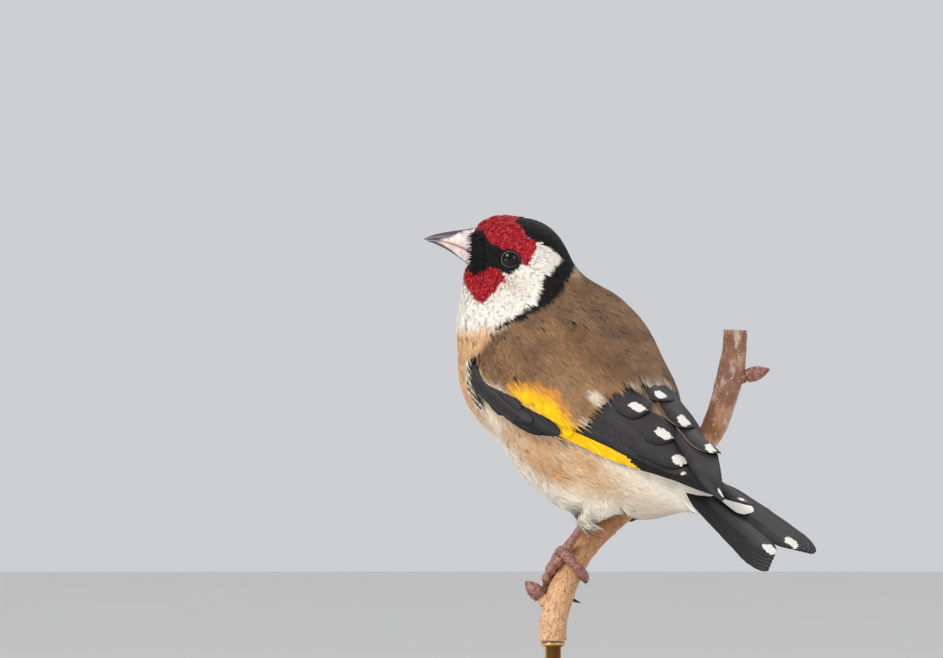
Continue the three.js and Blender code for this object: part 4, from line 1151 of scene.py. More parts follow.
def white_marks(surface, feathers, centre, height, lower, tangent, points):
    """Distance in from the rim of each feather's white mark, under 0 outside it."""
    pale = np.full(points.shape[:3], -9.0)
    for index, one in enumerate(feathers):
        if one["mark"] is None:
            continue
        along, angle, half_long, half_wide = one["mark"]
        middle = surface.place(np.array([float(along)]), np.array([float(angle)]), height[index, -1:])[0]
        row = min(np.argmin(far_from(centre[index], middle)), VANE_ROWS - 3)
        off = points[index] - middle
        x = off @ tangent[index, row] / half_long
        y = off @ lower[index, row] / half_wide
        x, y = np.abs(x + 0.3 * y), np.abs(y - 0.15 * x)
        edge = 0.22 * ripple(points[index], 0.55, 31 + index)
        pale[index] = (1 + edge - (x**3.6 + y**3.6) ** (1 / 3.6)) * min(half_long, half_wide)
    return pale


def make_vanes(name, surface, feathers, thickness=0.13):
    """One piece of overlapping vanes, with the distances that its markings are drawn from."""
    count = len(feathers)
    columns = len(VANE_COLUMNS)
    trait = lambda key: np.array([float(one[key]) for one in feathers])[:, None, None]
    path = np.array([spline(one["path"], VANE_SHARES) for one in feathers])
    heights = np.array([np.asarray(one["heights"], float) for one in feathers])
    height = heights[:, :1] + (heights[:, 1:] - heights[:, :1]) * VANE_SHARES ** trait("rise")[..., 0]
    centre = surface.settle(surface.place(path[..., 0], path[..., 1], height), height)
    normal = surface.normal(centre)
    tangent = unit(np.gradient(centre, axis=1))
    turned = trait("hand") * surface.sign
    lower = unit(np.cross(tangent, normal)) * turned
    outline = np.array([vane_outline(float(one["round"])) for one in feathers])
    half = trait("width")[..., 0] / 2 * outline
    lean = 1 + trait("lean") * np.sign(VANE_COLUMNS)
    across = VANE_COLUMNS * lean * half[..., None]
    draw = np.random.default_rng(len(name))
    ragged = 0.02 * draw.normal(size=(count, VANE_ROWS, 1)) * np.abs(VANE_COLUMNS) ** 3 * half[..., None]
    points = centre[:, :, None, :] + lower[:, :, None, :] * (across + ragged)[..., None]
    crown = VANE_ARCH * half[..., None] * (1 - VANE_COLUMNS**2)
    shaft = 0.06 * (np.abs(VANE_COLUMNS) < 0.01) * (1 - 0.7 * VANE_SHARES)[None, :, None]
    points = surface.settle(points, height[..., None] + across * trait("roll") + crown + shaft)
    normals = surface.normal(points)
    thin = thickness / 2 * (1 - 0.55 * np.abs(VANE_COLUMNS) ** 2) * (1 - 0.5 * VANE_SHARES[:, None] ** 3)
    top = points + normals * thin[None, :, :, None]
    bottom = points - normals * thin[None, :, :, None]
    grid = VANE_ROWS * columns
    placed = np.concatenate([top.reshape(count, grid, 3), bottom.reshape(count, grid, 3)], 1)
    index = np.arange(grid).reshape(VANE_ROWS, columns)
    a, b = index[:-1, :-1].ravel(), index[:-1, 1:].ravel()
    c, d = index[1:, 1:].ravel(), index[1:, :-1].ravel()
    faces = [np.stack([a, b, c], 1), np.stack([a, c, d], 1)]
    faces += [np.stack([a, c, b], 1) + grid, np.stack([a, d, c], 1) + grid]
    rim = np.concatenate([index[0, :-1], index[:-1, -1], index[-1, :0:-1], index[:0:-1, 0]])
    after = np.roll(rim, -1)
    faces += [np.stack([rim, rim + grid, after + grid], 1), np.stack([rim, after + grid, after], 1)]
    triangles = np.concatenate(faces)[None] + (np.arange(count) * 2 * grid)[:, None, None]
    triangles = np.where(turned < 0, triangles[..., ::-1], triangles)
    # Distances on each vane, in millimetres: to its markings, to its edges and along its barbs
    steps = np.linalg.norm(np.diff(centre, axis=1), axis=2)
    run = np.concatenate([np.zeros((count, 1)), np.cumsum(steps, axis=1)], 1)
    from_tip = np.broadcast_to((run[:, -1:] - run)[..., None], across.shape)
    pale = white_marks(surface, feathers, centre, height, lower, tangent, points)
    gold = trait("gold") - path[..., 0][..., None]
    gold = np.where(across > -0.15, gold, np.minimum(gold, (across + 0.15) * 4))
    brim = half[..., None] * lean - np.abs(across)
    inner = np.where(across < 0, brim + 0.12 * np.maximum(2.5 - from_tip, 0), 9.0)
    fringe = np.maximum(trait("fringe") - inner, -9)
    barb = from_tip + np.abs(across) * 1.1
    shade = draw.uniform(0.85, 1.2, size=(count, 1, 1)) * (1.85 - 1.25 * np.abs(VANE_COLUMNS) ** 1.6)

    def both(values):
        """The same values for the upper and the lower face of each vane."""
        return np.tile(np.broadcast_to(values, across.shape).reshape(count, grid), 2).ravel()

    cells = math.ceil(math.sqrt(count * 2))
    cell = np.arange(count * 2).reshape(2, count).T
    local = np.stack(np.meshgrid(np.linspace(0.05, 0.95, columns), np.linspace(0.03, 0.97, VANE_ROWS)), -1)
    corners = np.stack([cell % cells, cell // cells], -1)[:, :, None, :]
    patches = (local.reshape(1, 1, grid, 2) + corners) / cells
    return mesh_from_arrays(
        name,
        to_row(placed.reshape(-1, 3)),
        triangles.reshape(-1, 3),
        uv=patches.reshape(-1, 2),
        pale=both(pale),
        gold=both(gold),
        fringe=both(fringe),
        barb=both(barb),
        black=both(trait("black")),
        shade=both(shade),
        browning=both(trait("brown")),
    )


def arm_vanes():
    """The black band of alula, primary coverts and small coverts along the folded arm."""
    return (
        feather_row(
            6,
            ([[7, -5], [16, -8.5], [26.4, -8.6]], 2.8, [1.1, 2.0]),
            ([[9, 3], [19, -1.2], [30.0, -4.4]], 3.2, [1.6, 2.5]),
            round=(0.6, 0.7),
        )
        + feather_row(
            3,
            ([[3, 4], [9, -4.5], [19, -8.6]], 2.4, [1.5, 2.5]),
            ([[4, 7], [11, 0], [23.6, -4]], 2.6, [1.8, 2.8]),
            round=(0.65, 0.7),
        )
        + feather_row(
            9,
            ([[1.0, 9.0], [3.4, 6.2], [6, 3.4]], 1.8, [1.0, 1.9]),
            ([[11, 3.6], [15.5, 2.0], [19.6, -0.2]], 2.0, [2.0, 2.8]),
            round=(0.5, 0.6),
        )
        + feather_row(
            8,
            ([[1.5, 5.0], [3.2, 0.8], [5.0, -3.6]], 1.6, [0.8, 1.6]),
            ([[7.4, -4], [10.4, -8.2], [14.2, -11.2]], 2.0, [1.1, 2.0]),
            round=(0.4, 0.5),
        )
    )


# For each wing: primaries, secondaries, tertials, scapulars where they show, arm and gold coverts
LEFT_VANES = (
    feather_row(
        9,
        ([[22, -2], [30, -2], [39.5, 0.6], [49, 6.8], [56, 13.5], [63.4, 20], [74.6, 42]], 4.4, [0.75, 0.8]),
        ([[23, 8], [30, 10], [34, 12], [43, 17], [51, 23.5], [56, 28], [60, 34]], 5.0, [0.9, 1.1]),
        {0: (71.2, 25, 1.5, 0.5)},
        round=(0.5, 0.65), lean=(0.3, 0.25), gold=(47.9, 41.5),
    )
    + feather_row(
        6,
        ([[22, 9], [34, 11], [45, 13.5], [58.6, 19]], 5.6, [1.2, 1.4]),
        ([[22, 21], [32, 24], [42, 28], [54, 33]], 6, [1.2, 1.6]),
        {0: (58.4, 11.1, 0.75, 0.5)},
        round=0.85, roll=0.05,
    )
    + [
        tertial(
            [[21, 24], [34, 23], [46, 25], [57.2, 33]], 8.0, [0.7, 1.8],
            (55.3, 25.6, 1.8, 1.15), rise=1.2, fringe=0.3,
        ),
        tertial(
            [[21, 35], [32, 35], [41, 39], [50.4, 51]], 7.8, [0.7, 1.95],
            (48.3, 45.1, 2.0, 1.05), rise=1.3,
        ),
        tertial(
            [[20, 46], [28, 46], [35, 49], [42.3, 54.5]], 7.2, [0.3, 2.1],
            (40.1, 50.7, 1.8, 1.0), rise=1.5, round=0.82,
        ),
        feather([[20, 92], [31, 86], [38, 79], [44, 71], [49, 64], [54.5, 55]], 4.6, [-0.4, 1.3], brown=1.0),
        feather([[20, 82], [30, 78], [36, 72], [42, 65], [47, 59], [52, 52]], 4.6, [-0.4, 1.1], brown=1.0),
    ]
    + arm_vanes()
    + feather_row(
        8,
        ([[15, 2], [23, 0], [31.6, -1.5]], 3.4, [1.1, 1.5]),
        ([[14, 13], [22, 14], [28.5, 13]], 4.0, [1.1, 1.6]),
        gold=99,
    )
)
RIGHT_VANES = (
    feather_row(
        9,
        (
            [[22, 8], [30, 40], [38.5, 84], [46, 103], [53.6, 127], [61, 149], [67, 164], [71.9, 171]],
            4.4, [0.75, 1.0],
        ),
        (
            [[23, 22], [29, 36], [35, 54], [40, 70], [45, 84], [50, 95], [55.5, 104], [61, 114]],
            5.2, [0.95, 1.2],
        ),
        {0: (70.0, 163, 1.3, 0.45), 5: (64.2, 133, 0.8, 0.4), 7: (61.0, 120, 0.9, 0.45)},
        round=(0.5, 0.65), lean=(0.3, 0.25), gold=(46, 40),
    )
    + feather_row(
        6,
        ([[22, 20], [34, 42], [45, 66], [57, 95]], 5.4, [1.2, 1.5]),
        ([[22, 36], [32, 52], [42, 74], [54, 96]], 6, [1.2, 1.6]),
        round=0.85,
    )
    + [
        tertial(
            [[21, 40], [34, 57], [45, 77], [60, 104]], 8.0, [0.2, 2.0],
            (58.2, 104.5, 1.7, 1.15), rise=1.5, fringe=0.3,
        ),
        tertial(
            [[21, 53], [32, 67], [41, 85], [50.4, 98]], 7.8, [0.7, 1.95],
            (48.2, 97.5, 1.9, 1.25), rise=1.3,
        ),
        tertial(
            [[20, 64], [27, 74], [34, 86], [41.8, 97]], 7.2, [-0.4, 2.1],
            (39.6, 95.5, 1.5, 1.25), rise=2.0, round=0.82,
        ),
    ]
    + arm_vanes()
    + feather_row(
        9,
        ([[15, 4], [23, 5], [33.0, 12]], 3.8, [1.1, 1.5]),
        ([[15, 40], [23, 52], [31, 64]], 4.6, [1.1, 1.5]),
        gold=99,
    )
)


def tail_vanes():
    """The tail feathers of both halves, and the white coverts over and under their roots."""
    rectrices = []
    coverts = []
    for side in (1, -1):
        turned = lambda *path: [[along, side * left] for along, left in path]
        mark = (40.2, 2.1, 1.9, 1.15) if side > 0 else (40.5, -3.5, 1.9, 1.15)
        outer = 6.9 if side > 0 else 5.8
        rectrices += feather_row(
            6,
            (turned((12, 1), (27, 1.7), (41.8, 2.5)), 5.2, [0.6, 0.5]),
            (turned((12, 2.4), (30, 4.8), (45.2, outer)), 4.6, [0.1, -0.15]),
            {0: mark, 1: mark},
            hand=side, roll=0.03, round=0.7, lean=(0.0, 0.2),
        )
        first_end, last_end = ((19.5, 1.0), (16.5, 3.0)) if side > 0 else ((28.2, 1.2), (28.0, 2.8))
        coverts += feather_row(
            5,
            (turned((11.5, 0.6), (17, 0.9), first_end), 3.6, [1.8, 1.25]),
            (turned((11.5, 2.6), (16, 2.2), last_end), 3.2, [1.4, 0.75]),
            hand=side, roll=0.05, round=0.7, black=0.0,
        )
        coverts += feather_row(
            4,
            (turned((11, 0.8), (18, 1.4), (25, 2.0)), 4.0, [-1.9, -1.6]),
            (turned((11, 3), (17, 3.6), (21, 4.2)), 3.8, [-1.6, -1.3]),
            hand=side, roll=-0.05, round=0.7, black=0.0,
        )
    return rectrices, coverts


left_wing = make_vanes("wing_left_vanes", Surface(1, seat_field), LEFT_VANES)
right_wing = make_vanes("wing_right_vanes", Surface(-1, seat_field, crossing_lift), RIGHT_VANES)
tail_feathers, tail_coverts = tail_vanes()
tail = make_vanes("tail_vanes", TailSurface(), tail_feathers, thickness=0.09)
tail_cover = make_vanes("tail_covert_vanes", TailSurface(), tail_coverts)


# Eyes and lids

EYE_BULGE = 0.85
LID_RADIUS = 1.72


def eye_centre(side):
    lefts = np.arange(6, 12, 0.02)
    places = on_head(np.full(lefts.shape, EYE_FORWARD), side * lefts, np.full(lefts.shape, EYE_UP))
    reach = lefts[np.argmax(body_field(places) > 0)]
    return on_head(EYE_FORWARD, side * (reach + EYE_BULGE - EYE_RADIUS), EYE_UP)


def make_eye(name, side):
    centre = eye_centre(side)
    bm = bmesh.new()
    bmesh.ops.create_uvsphere(bm, u_segments=48, v_segments=32, radius=EYE_RADIUS * 0.985)
    for vertex in bm.verts:
        x, y, z = vertex.co
        out = max(z, 0) / EYE_RADIUS
        place = centre + HEAD_FORWARD * x + UP * y + HEAD_LEFT * side * (z * (1 + 0.05 * out**6))
        vertex.co = to_row(place)
    bmesh.ops.recalc_face_normals(bm, faces=bm.faces)
    return finish_bmesh(name, bm)


def make_lids(name, side):
    """The bare ring of lid round an eye, with its rim of fine beads."""
    centre = eye_centre(side)

    def place(turn, share):
        round_eye = 2 * math.pi * share
        round_rim = 2 * math.pi * turn
        thick = 0.095 + 0.02 * np.sin(round_eye * 34)
        radius = LID_RADIUS + thick * np.cos(round_rim)
        out = math.sqrt(EYE_RADIUS**2 - LID_RADIUS**2) + thick * np.sin(round_rim) - 0.1 * np.cos(round_rim)
        out = out - 0.12 * np.cos(round_eye) ** 2
        forward = radius * np.cos(round_eye) * 1.1
        rise = radius * np.sin(round_eye) * 0.96
        return centre + np.stack([forward, out * side, rise], -1) @ np.array([HEAD_FORWARD, HEAD_LEFT, UP])

    return rolled(name, 12, 136, place, capped=False)


eyes = [make_eye(f"eye_ball_{name}", side) for name, side in (("left", 1), ("right", -1))]
lids = [make_lids(f"eye_lids_{name}", side) for name, side in (("left", 1), ("right", -1))]


# Bill

BILL_TIP, BILL_BASE, BILL_HALF_WIDTH = 18.7, 4.6, 3.6
RIDGE = [
    (4.6, 8.6), (6.2, 8.5), (7.6, 8.35), (10, 7.95), (12.2, 7.68), (14.6, 7.28), (16.8, 6.78),
    (18.0, 6.3), (18.8, 5.9),
]
MOUTH = [(4.6, 0.9), (5.2, 1.2), (7.9, 2.2), (9.8, 3.6), (11.4, 4.25), (12.7, 4.8), (14.9, 5.4), (18.8, 5.7)]
KEEL = [
    (4.6, -1.9), (6.2, -1.0), (7.9, -0.15), (9.5, 0.6), (12.2, 2.55), (14.1, 3.75), (16.6, 4.95), (18, 5.4),
]


def make_mandible(name, upper):
    length = BILL_TIP if upper else 18.0
    outer = RIDGE if upper else KEEL

    def place(turn, share):
        forward = BILL_BASE + (length - BILL_BASE) * share
        along = (forward - BILL_BASE) / (BILL_TIP - BILL_BASE)
        mouth = np.interp(forward, *zip(*MOUTH)) + (0.05 if upper else -0.05)
        far = np.interp(forward, *zip(*outer))
        height = np.maximum(far - mouth, 0.12) if upper else np.minimum(far - mouth, -0.12)
        half = BILL_HALF_WIDTH * np.clip(1 - along, 0, 1) ** 0.86 * (1 if upper else 0.9) + 0.12
        angle = 2 * math.pi * turn
        rise = np.sin(angle)
        arched = rise > 0.001
        swell = np.sign(np.cos(angle)) * np.abs(np.cos(angle)) ** 0.9
        left = half * np.where(arched, swell, 0.95 * np.cos(angle))
        crown = height * np.maximum(rise, 0) ** (0.92 if upper else 1.0)
        up = mouth + np.where(arched, crown, 0.06 * height * -rise)
        dent = np.hypot((forward - 8.0) / 0.75, (up - 6.6) / 0.42)
        nostril = 0.45 * (1 - smooth(dent, 0.4, 1.0)) * upper
        left = left - np.sign(left) * nostril
        return on_head(forward, left, up)

    return rolled(name, 48, 72, place)


bill_upper = make_mandible("bill_upper_horn", True)
bill_lower = make_mandible("bill_lower_horn", False)


# Perch, feet and claws

PERCH_ROUTE = [
    (2.9, 11.3, -48.9, 2.95), (2.9, 11.3, -46.4, 2.95), (3.0, 10.6, -43.2, 2.95), (2.5, 8.9, -38.1, 2.85),
    (1.1, 6.7, -32.8, 2.65), (0.6, 2.7, -28.1, 2.6), (1.2, -4.2, -24.0, 2.55), (1.8, -13.8, -18.5, 2.5),
    (0.4, -20.8, -13.2, 2.5), (-2.0, -26.0, -8.9, 2.55), (-4.1, -29.6, -5.1, 2.6), (-5.2, -32.1, 1.1, 2.7),
    (-5.7, -34.0, 7.4, 2.8), (-6.0, -35.0, 12.8, 2.6), (-6.1, -35.2, 17.0, 2.5),
]
PERCH_STEPS = 900
perch_shares = np.linspace(0, 1, PERCH_STEPS + 1)
perch_line = spline(PERCH_ROUTE, perch_shares)
perch_centre, perch_radius = perch_line[:, :3], perch_line[:, 3]
perch_tangent = unit(np.gradient(perch_centre, axis=0))
perch_forward = unit(np.array([1.0, 0, 0]) - perch_tangent[:, :1] * perch_tangent)
perch_top = np.cross(perch_tangent, perch_forward)
PERCH_LENGTH = float(np.linalg.norm(np.diff(perch_centre, axis=0), axis=1).sum())


def nearest_on_perch(point):
    index = np.argmin(np.linalg.norm(perch_centre - np.asarray(point), axis=1))
    return PERCH_LENGTH * index / PERCH_STEPS


def round_perch(length, degrees, height):
    """A place round the perch: 0 degrees on top, growing towards the bird's front."""
    share = np.clip(np.asarray(length, float) / PERCH_LENGTH, 0, 1)
    pick = lambda rows: np.stack([np.interp(share, perch_shares, column) for column in rows.T], -1)
    radius = np.interp(share, perch_shares, perch_radius)
    angle = np.radians(degrees)[..., None]
    out = pick(perch_top) * np.cos(angle) + pick(perch_forward) * np.sin(angle)
    return pick(perch_centre) + out * (radius + height)[..., None]


SHANK_RADIUS = 0.95
GAP = 0.12
FEET = {"left": nearest_on_perch((1.3, 7.3, -33.3)), "right": nearest_on_perch((1.5, -16, -16.6))}
TOES = {
    "inner": {"shift": (1.2, 1.8), "angle": (20, 122), "claw": 46},
    "middle": {"shift": (0.6, -6.2), "angle": (14, 150), "claw": 72},
    "outer": {"shift": (0, -6.6), "angle": (6, 88), "claw": 50},
    "hind": {"shift": (1.2, -1.2), "angle": (4, -128), "claw": -58},
}
PADS = {"inner": 3, "middle": 4, "outer": 4, "hind": 2}


def toe_line(side, toe, rows):
    share = np.linspace(0, 1, rows)
    radius = 1.14 - 0.3 * share
    shift = toe["shift"][0] + (toe["shift"][1] - toe["shift"][0]) * share**0.8
    angle = toe["angle"][0] + (toe["angle"][1] - toe["angle"][0]) * share
    return round_perch(FEET[side] + shift, angle, radius + GAP), radius


def foot_place(side):
    return round_perch(FEET[side], 12.0, SHANK_RADIUS + GAP)


def toe_end(line):
    """The way a toe points at its end, and a place just past it."""
    direction = unit(line[-1] - line[-2])
    return direction, line[-1] + direction * 0.35


def make_toe(name, side, key):
    line, radius = toe_line(side, TOES[key], 15)
    route = np.vstack([foot_place(side), line, toe_end(line)[1]])
    radii = np.concatenate([[0.6], radius, [0.45]])
    pads = PADS[key]

    def relief(turn, share):
        knuckle = 0.34 * np.sin(share * pads * math.pi) ** 2 - 0.1
        rings = 0.05 * np.sin(share * 22 * math.pi * 2) * smooth(np.abs(turn - 0.5), 0.05, 0.3)
        return knuckle + rings

    return tube(name, route, radii, 18, 112, relief)


def make_leg(side):
    _, heel, cuff = THIGHS[side]
    foot = foot_place(side)
    start = cuff[0] + unit(heel[0] - foot) * 1.6
    bend = round_perch(FEET[side] - 0.6, 20.0, SHANK_RADIUS)
    route = [start, start + (foot - start) * 0.35, start + (foot - start) * 0.75, foot, bend]
    radii = np.array([0.98, 0.86, 0.9, 1.22, 1.0]) * SHANK_RADIUS

    def relief(turn, share):
        plates = 0.05 * np.abs(np.sin(share * 9 * math.pi)) ** 0.5 * smooth(np.abs(turn - 0.5), 0.02, 0.2)
        return plates - 0.03

    shank = tube(f"leg_{side}_shank", route, radii, 24, 90, relief)
    toes = [make_toe(f"leg_{side}_{key}", side, key) for key in TOES]
    return joined(f"leg_{side}_skin", [shank, *toes])


def make_claw(side, key):
    toe = TOES[key]
    direction, end = toe_end(toe_line(side, toe, 15)[0])
    share = np.arange(1, 6) / 5
    angle = toe["angle"][1] + toe["claw"] * (0.35 + 0.65 * share)
    curve = round_perch(FEET[side] + toe["shift"][1] - 0.5 * share, angle, 0.75 + 1.0 * share**2)
    route = np.vstack([end - direction * 0.3, end + direction * 0.6, curve])
    radii = [0.5, 0.55, 0.5, 0.42, 0.32, 0.2, 0.05]
    return tube(f"claw_{side}_{key}_horn", route, radii, 12, 32)


legs = {side: make_leg(side) for side in FEET}
claws = {f"claw_{side}_{key}": make_claw(side, key) for side in FEET for key in TOES}


def make_perch():
    draw = np.random.default_rng(5)
    warts = np.stack([draw.uniform(0, 1, 90), draw.uniform(0.01, 0.99, 90)], -1)

    def relief(turn, share):
        length = share * PERCH_LENGTH
        angle = 2 * math.pi * turn
        ring = np.stack([np.cos(angle) * 2.6, np.sin(angle) * 2.6, length * 0.6], -1)
        rough = 0.05 * ripple(ring, 0.9, 21) + 0.07 * ripple(ring, 3.0, 22) + 0.03 * ripple(ring, 0.4, 23)
        for at, along in warts:
            off = np.abs((turn - at + 0.5) % 1 - 0.5) * 16.5
            rough += 0.1 * np.exp(-((off / 0.35) ** 2) - ((length - along * PERCH_LENGTH) / 0.5) ** 2)
        return rough

    radii = np.interp(np.linspace(0, 1, 61), perch_shares, perch_radius)
    return tube("perch_bark", np.array(PERCH_ROUTE)[:, :3], radii, 72, 360, relief)


BUDS = [
    {"seat": (5, 11.5, -40.6), "toward": (0.5, 0.5, 0.7), "reach": 1.4, "size": 4.6, "radius": 1.5},
    {"seat": (-7.6, -35.9, 6.8), "toward": (-0.67, -0.67, 0.3), "reach": 0.9, "size": 5.2, "radius": 1.4},
]


def make_bud(index, bud):
    seat = np.array(bud["seat"], float)
    toward = unit(np.array(bud["toward"]))
    root = perch_centre[np.argmin(np.linalg.norm(perch_centre - seat, axis=1))]
    reach = bud["reach"]
    stem = [root, seat + (root - seat) * 0.15, seat + toward * (reach - 0.3), seat + toward * (reach + 0.2)]
    ridges = lambda turn, share: 0.06 * np.sin(share * 40) + 0.04 * np.sin(turn * 6.28 * 5)
    collar = tube(f"collar_{index}", stem, np.array([1.25, 1.2, 1.05, 0.7]) * bud["radius"], 32, 40, ridges)
    shares = np.array([0, 0.25, 0.5, 0.75, 0.92, 1])
    profile = np.array([0.95, 1.1, 1.02, 0.7, 0.34, 0.08]) * bud["radius"]
    route = [seat + toward * (reach - 0.05 + share * bud["size"]) for share in shares]

    def scales(turn, share):
        ridge = (share * 4 + 0.5 * (np.sin(2 * math.pi * turn * 2.0) > 0)) % 1
        return 0.12 * (1 - ridge) * smooth(1 - share, 0.03, 0.3)

    radii = np.interp(np.linspace(0, 1, 21), shares, profile)
    scale_piece = tube(f"perch_bud_scales_{index}", route, radii, 40, 60, scales)
    return collar, scale_piece


perch = make_perch()
buds = [make_bud(index, bud) for index, bud in enumerate(BUDS, 1)]
perch = joined("perch_bark", [perch] + [collar for collar, _ in buds])
bud_pieces = [scales for _, scales in buds]


# Stand

BASE_RADIUS, BASE_HEIGHT, ROD_RADIUS = 44.0, 11.0, 1.8


def turned_form(name, profile, centre=(0, 0), steps=128):
    """A profile of (radius, height) in millimetres, spun round an upright axis of the frame."""
    bm = bmesh.new()
    corners = [bm.verts.new((radius * MM, 0, height * MM)) for radius, height in profile]
    edges = [bm.edges.new(pair) for pair in zip(corners[:-1], corners[1:])]
    upright = {"cent": (0, 0, 0), "axis": (0, 0, 1)}
    bmesh.ops.spin(bm, geom=corners + edges, angle=2 * math.pi, steps=steps, use_merge=True, **upright)
    bmesh.ops.remove_doubles(bm, verts=bm.verts, dist=1e-7)
    bmesh.ops.translate(bm, verts=bm.verts, vec=(centre[0] * MM, centre[1] * MM, 0))
    bmesh.ops.recalc_face_normals(bm, faces=bm.faces)
    return finish_bmesh(name, bm)


def rounded_corner(radius, height, size, start, steps=6):
    """Points round a quarter circle, for a profile's softened edge."""
    angles = np.radians(np.linspace(start, start + 90, steps))
    return [(radius + size * math.cos(a), height + size * math.sin(a)) for a in angles]


groove = BASE_RADIUS - 0.7
base = turned_form(
    "stand_base_turned",
    [(0, 0), (BASE_RADIUS - 1.2, 0)]
    + rounded_corner(BASE_RADIUS - 1.2, 1.2, 1.2, -90)
    + [(BASE_RADIUS, BASE_HEIGHT - 4.6), (groove, BASE_HEIGHT - 4.2), (groove, BASE_HEIGHT - 3.8)]
    + rounded_corner(BASE_RADIUS - 3.4, BASE_HEIGHT - 3.0, 3.0, 0, 10)
    + [(BASE_RADIUS - 4.0, BASE_HEIGHT), (0, BASE_HEIGHT)],
)
rod_foot = np.array([11.3, -2.9]) + BODY_CENTRE[:2]
ROD_TOP = 89.4 - 48.9 - 0.2
rod = turned_form(
    "stand_rod_turned",
    [
        (0, BASE_HEIGHT - 0.5), (3.2, BASE_HEIGHT - 0.5), (3.2, BASE_HEIGHT + 0.9), (2.9, BASE_HEIGHT + 1.3),
        (ROD_RADIUS + 0.15, BASE_HEIGHT + 1.7), (ROD_RADIUS, BASE_HEIGHT + 2.2), (ROD_RADIUS, ROD_TOP - 1.2),
        (ROD_RADIUS + 0.7, ROD_TOP - 1.0), (ROD_RADIUS + 0.7, ROD_TOP), (0, ROD_TOP),
    ],
    rod_foot,
    64,
)


# Finishes

plumage = Finish("plumage", Roughness=0.68, Specular_IOR_Level=0.16, Sheen_Weight=0.04, Sheen_Roughness=0.4)
tint = plumage.drawn("tint", colour=True)
plumage.feed(Base_Color=plumage.shaded(tint, 0.9 + 0.2 * plumage.noise(0.5)))
plumage.on(skin, *coat)

flight = Finish("flight_vane", Roughness=0.6, Specular_IOR_Level=0.18)
barb = flight.drawn("barb")
grain = flight.noise(0.3)
ragged = (grain - 0.5) * 0.55
pale = (flight.drawn("pale") + ragged).step(-0.1, 0.1)
gold = (flight.drawn("gold") + ragged * 1.6).step(-0.25, 0.25)
brim = (flight.drawn("fringe") + ragged).step(-0.25, 0.25)
charcoal = flight.mix(flight.noise(3.0), srgb(25, 22, 22), srgb(44, 43, 44))
dark = flight.shaded(charcoal, flight.drawn("shade"))
ground = flight.mix(brim * 0.85, dark, srgb(122, 98, 76))
ground = flight.mix(gold, ground, flight.mix(flight.noise(1.5), srgb(253, 208, 8), srgb(244, 180, 4)))
ground = flight.mix(pale, ground, srgb(212, 208, 200))
streaky = flight.noise(0.7, flight.place((0.5, 2.5, 1.5)))
scapular = flight.mix(streaky, srgb(120, 94, 72), srgb(166, 134, 106))
ground = flight.mix(flight.drawn("browning"), ground, scapular)
ground = flight.mix(flight.drawn("black").step(0.2, 0.8), srgb(240, 234, 224), ground)
stripes = (barb * (2 * math.pi / 0.42) + grain * 2.5).wave() * 0.5 + 0.5
flight.feed(Base_Color=flight.shaded(ground, 0.8 + 0.3 * stripes), Roughness=0.54 + 0.16 * stripes)
flight.bump(stripes, 0.018)
flight.on(left_wing, right_wing, tail, tail_cover)

eye_gloss = Finish("wet_eye", Roughness=0.06, Specular_IOR_Level=0.24)
eye_gloss.feed(Base_Color=eye_gloss.mix(eye_gloss.noise(0.6), srgb(5, 4, 4), srgb(14, 9, 7)))
eye_gloss.on(*eyes)

lid_skin = Finish("lid_skin", Roughness=0.5)
lid_skin.feed(Base_Color=lid_skin.mix(lid_skin.noise(0.3), srgb(58, 52, 48), srgb(98, 90, 82)))
lid_skin.on(*lids)

horn = Finish("bill_horn", Roughness=0.36, Subsurface_Weight=0.12, Specular_IOR_Level=0.35)
for piece, outer in ((bill_upper, RIDGE), (bill_lower, KEEL)):
    forward, left, up = head_view(from_row(mesh_points(piece.data)))
    from_ridge = np.abs(np.interp(forward, *zip(*outer)) - up)
    from_mouth = np.abs(np.interp(forward, *zip(*MOUTH)) - up)
    set_attribute(piece.data, "forward", forward)
    set_attribute(piece.data, "ridge", 1.0 - from_ridge / (1.3 if outer is RIDGE else 0.55))
    set_attribute(piece.data, "mouth", 0.75 * (1 - smooth(from_mouth, 0.02, 0.22)))
cloud = horn.noise(1.6)
reach = horn.drawn("forward") + (cloud - 0.5) * 2.4
tip = reach.step(13.5, 18.2)
ridge_reach = horn.drawn("ridge") + (cloud - 0.5) * 0.5
culmen = (ridge_reach + reach.step(8, 15) * 1.0).step(0.55, 1.15) * reach.step(5.5, 8.5)
ivory = horn.mix(cloud.step(0.35, 0.65), srgb(222, 208, 204), srgb(204, 178, 168))
ivory = horn.mix(horn.drawn("mouth"), ivory, srgb(150, 104, 84))
slate = horn.mix(culmen.most(tip), ivory, srgb(54, 54, 70))
horn.feed(Base_Color=slate, Roughness=0.28 + 0.16 * horn.noise(0.5))
horn.bump(horn.noise(0.25, horn.place((4, 4, 1))), 0.02)
horn.on(bill_upper, bill_lower)

leg_skin = Finish("leg_skin", Roughness=0.35, Specular_IOR_Level=0.6)
mottle = leg_skin.noise(0.7)
scale_line = leg_skin.cells(0.6)
leg_colour = leg_skin.mix(mottle.step(0.35, 0.65), srgb(122, 76, 64), srgb(158, 108, 94))
# Painted shade: the creases between the scales are painted darker, over their bump
painted_crease_shade = scale_line.step(0.6, 0.9)
leg_colour = leg_skin.mix(painted_crease_shade * 0.8, leg_colour, srgb(84, 50, 42))
leg_skin.feed(Base_Color=leg_colour, Roughness=0.2 + 0.24 * mottle)
leg_skin.bump(1 - scale_line, 0.14)
leg_skin.on(*legs.values())

claw_horn = Finish("claw_horn", Roughness=0.28)
claw_horn.feed(Base_Color=claw_horn.mix(claw_horn.noise(0.5), srgb(38, 32, 32), srgb(70, 58, 54)))
claw_horn.on(*claws.values())

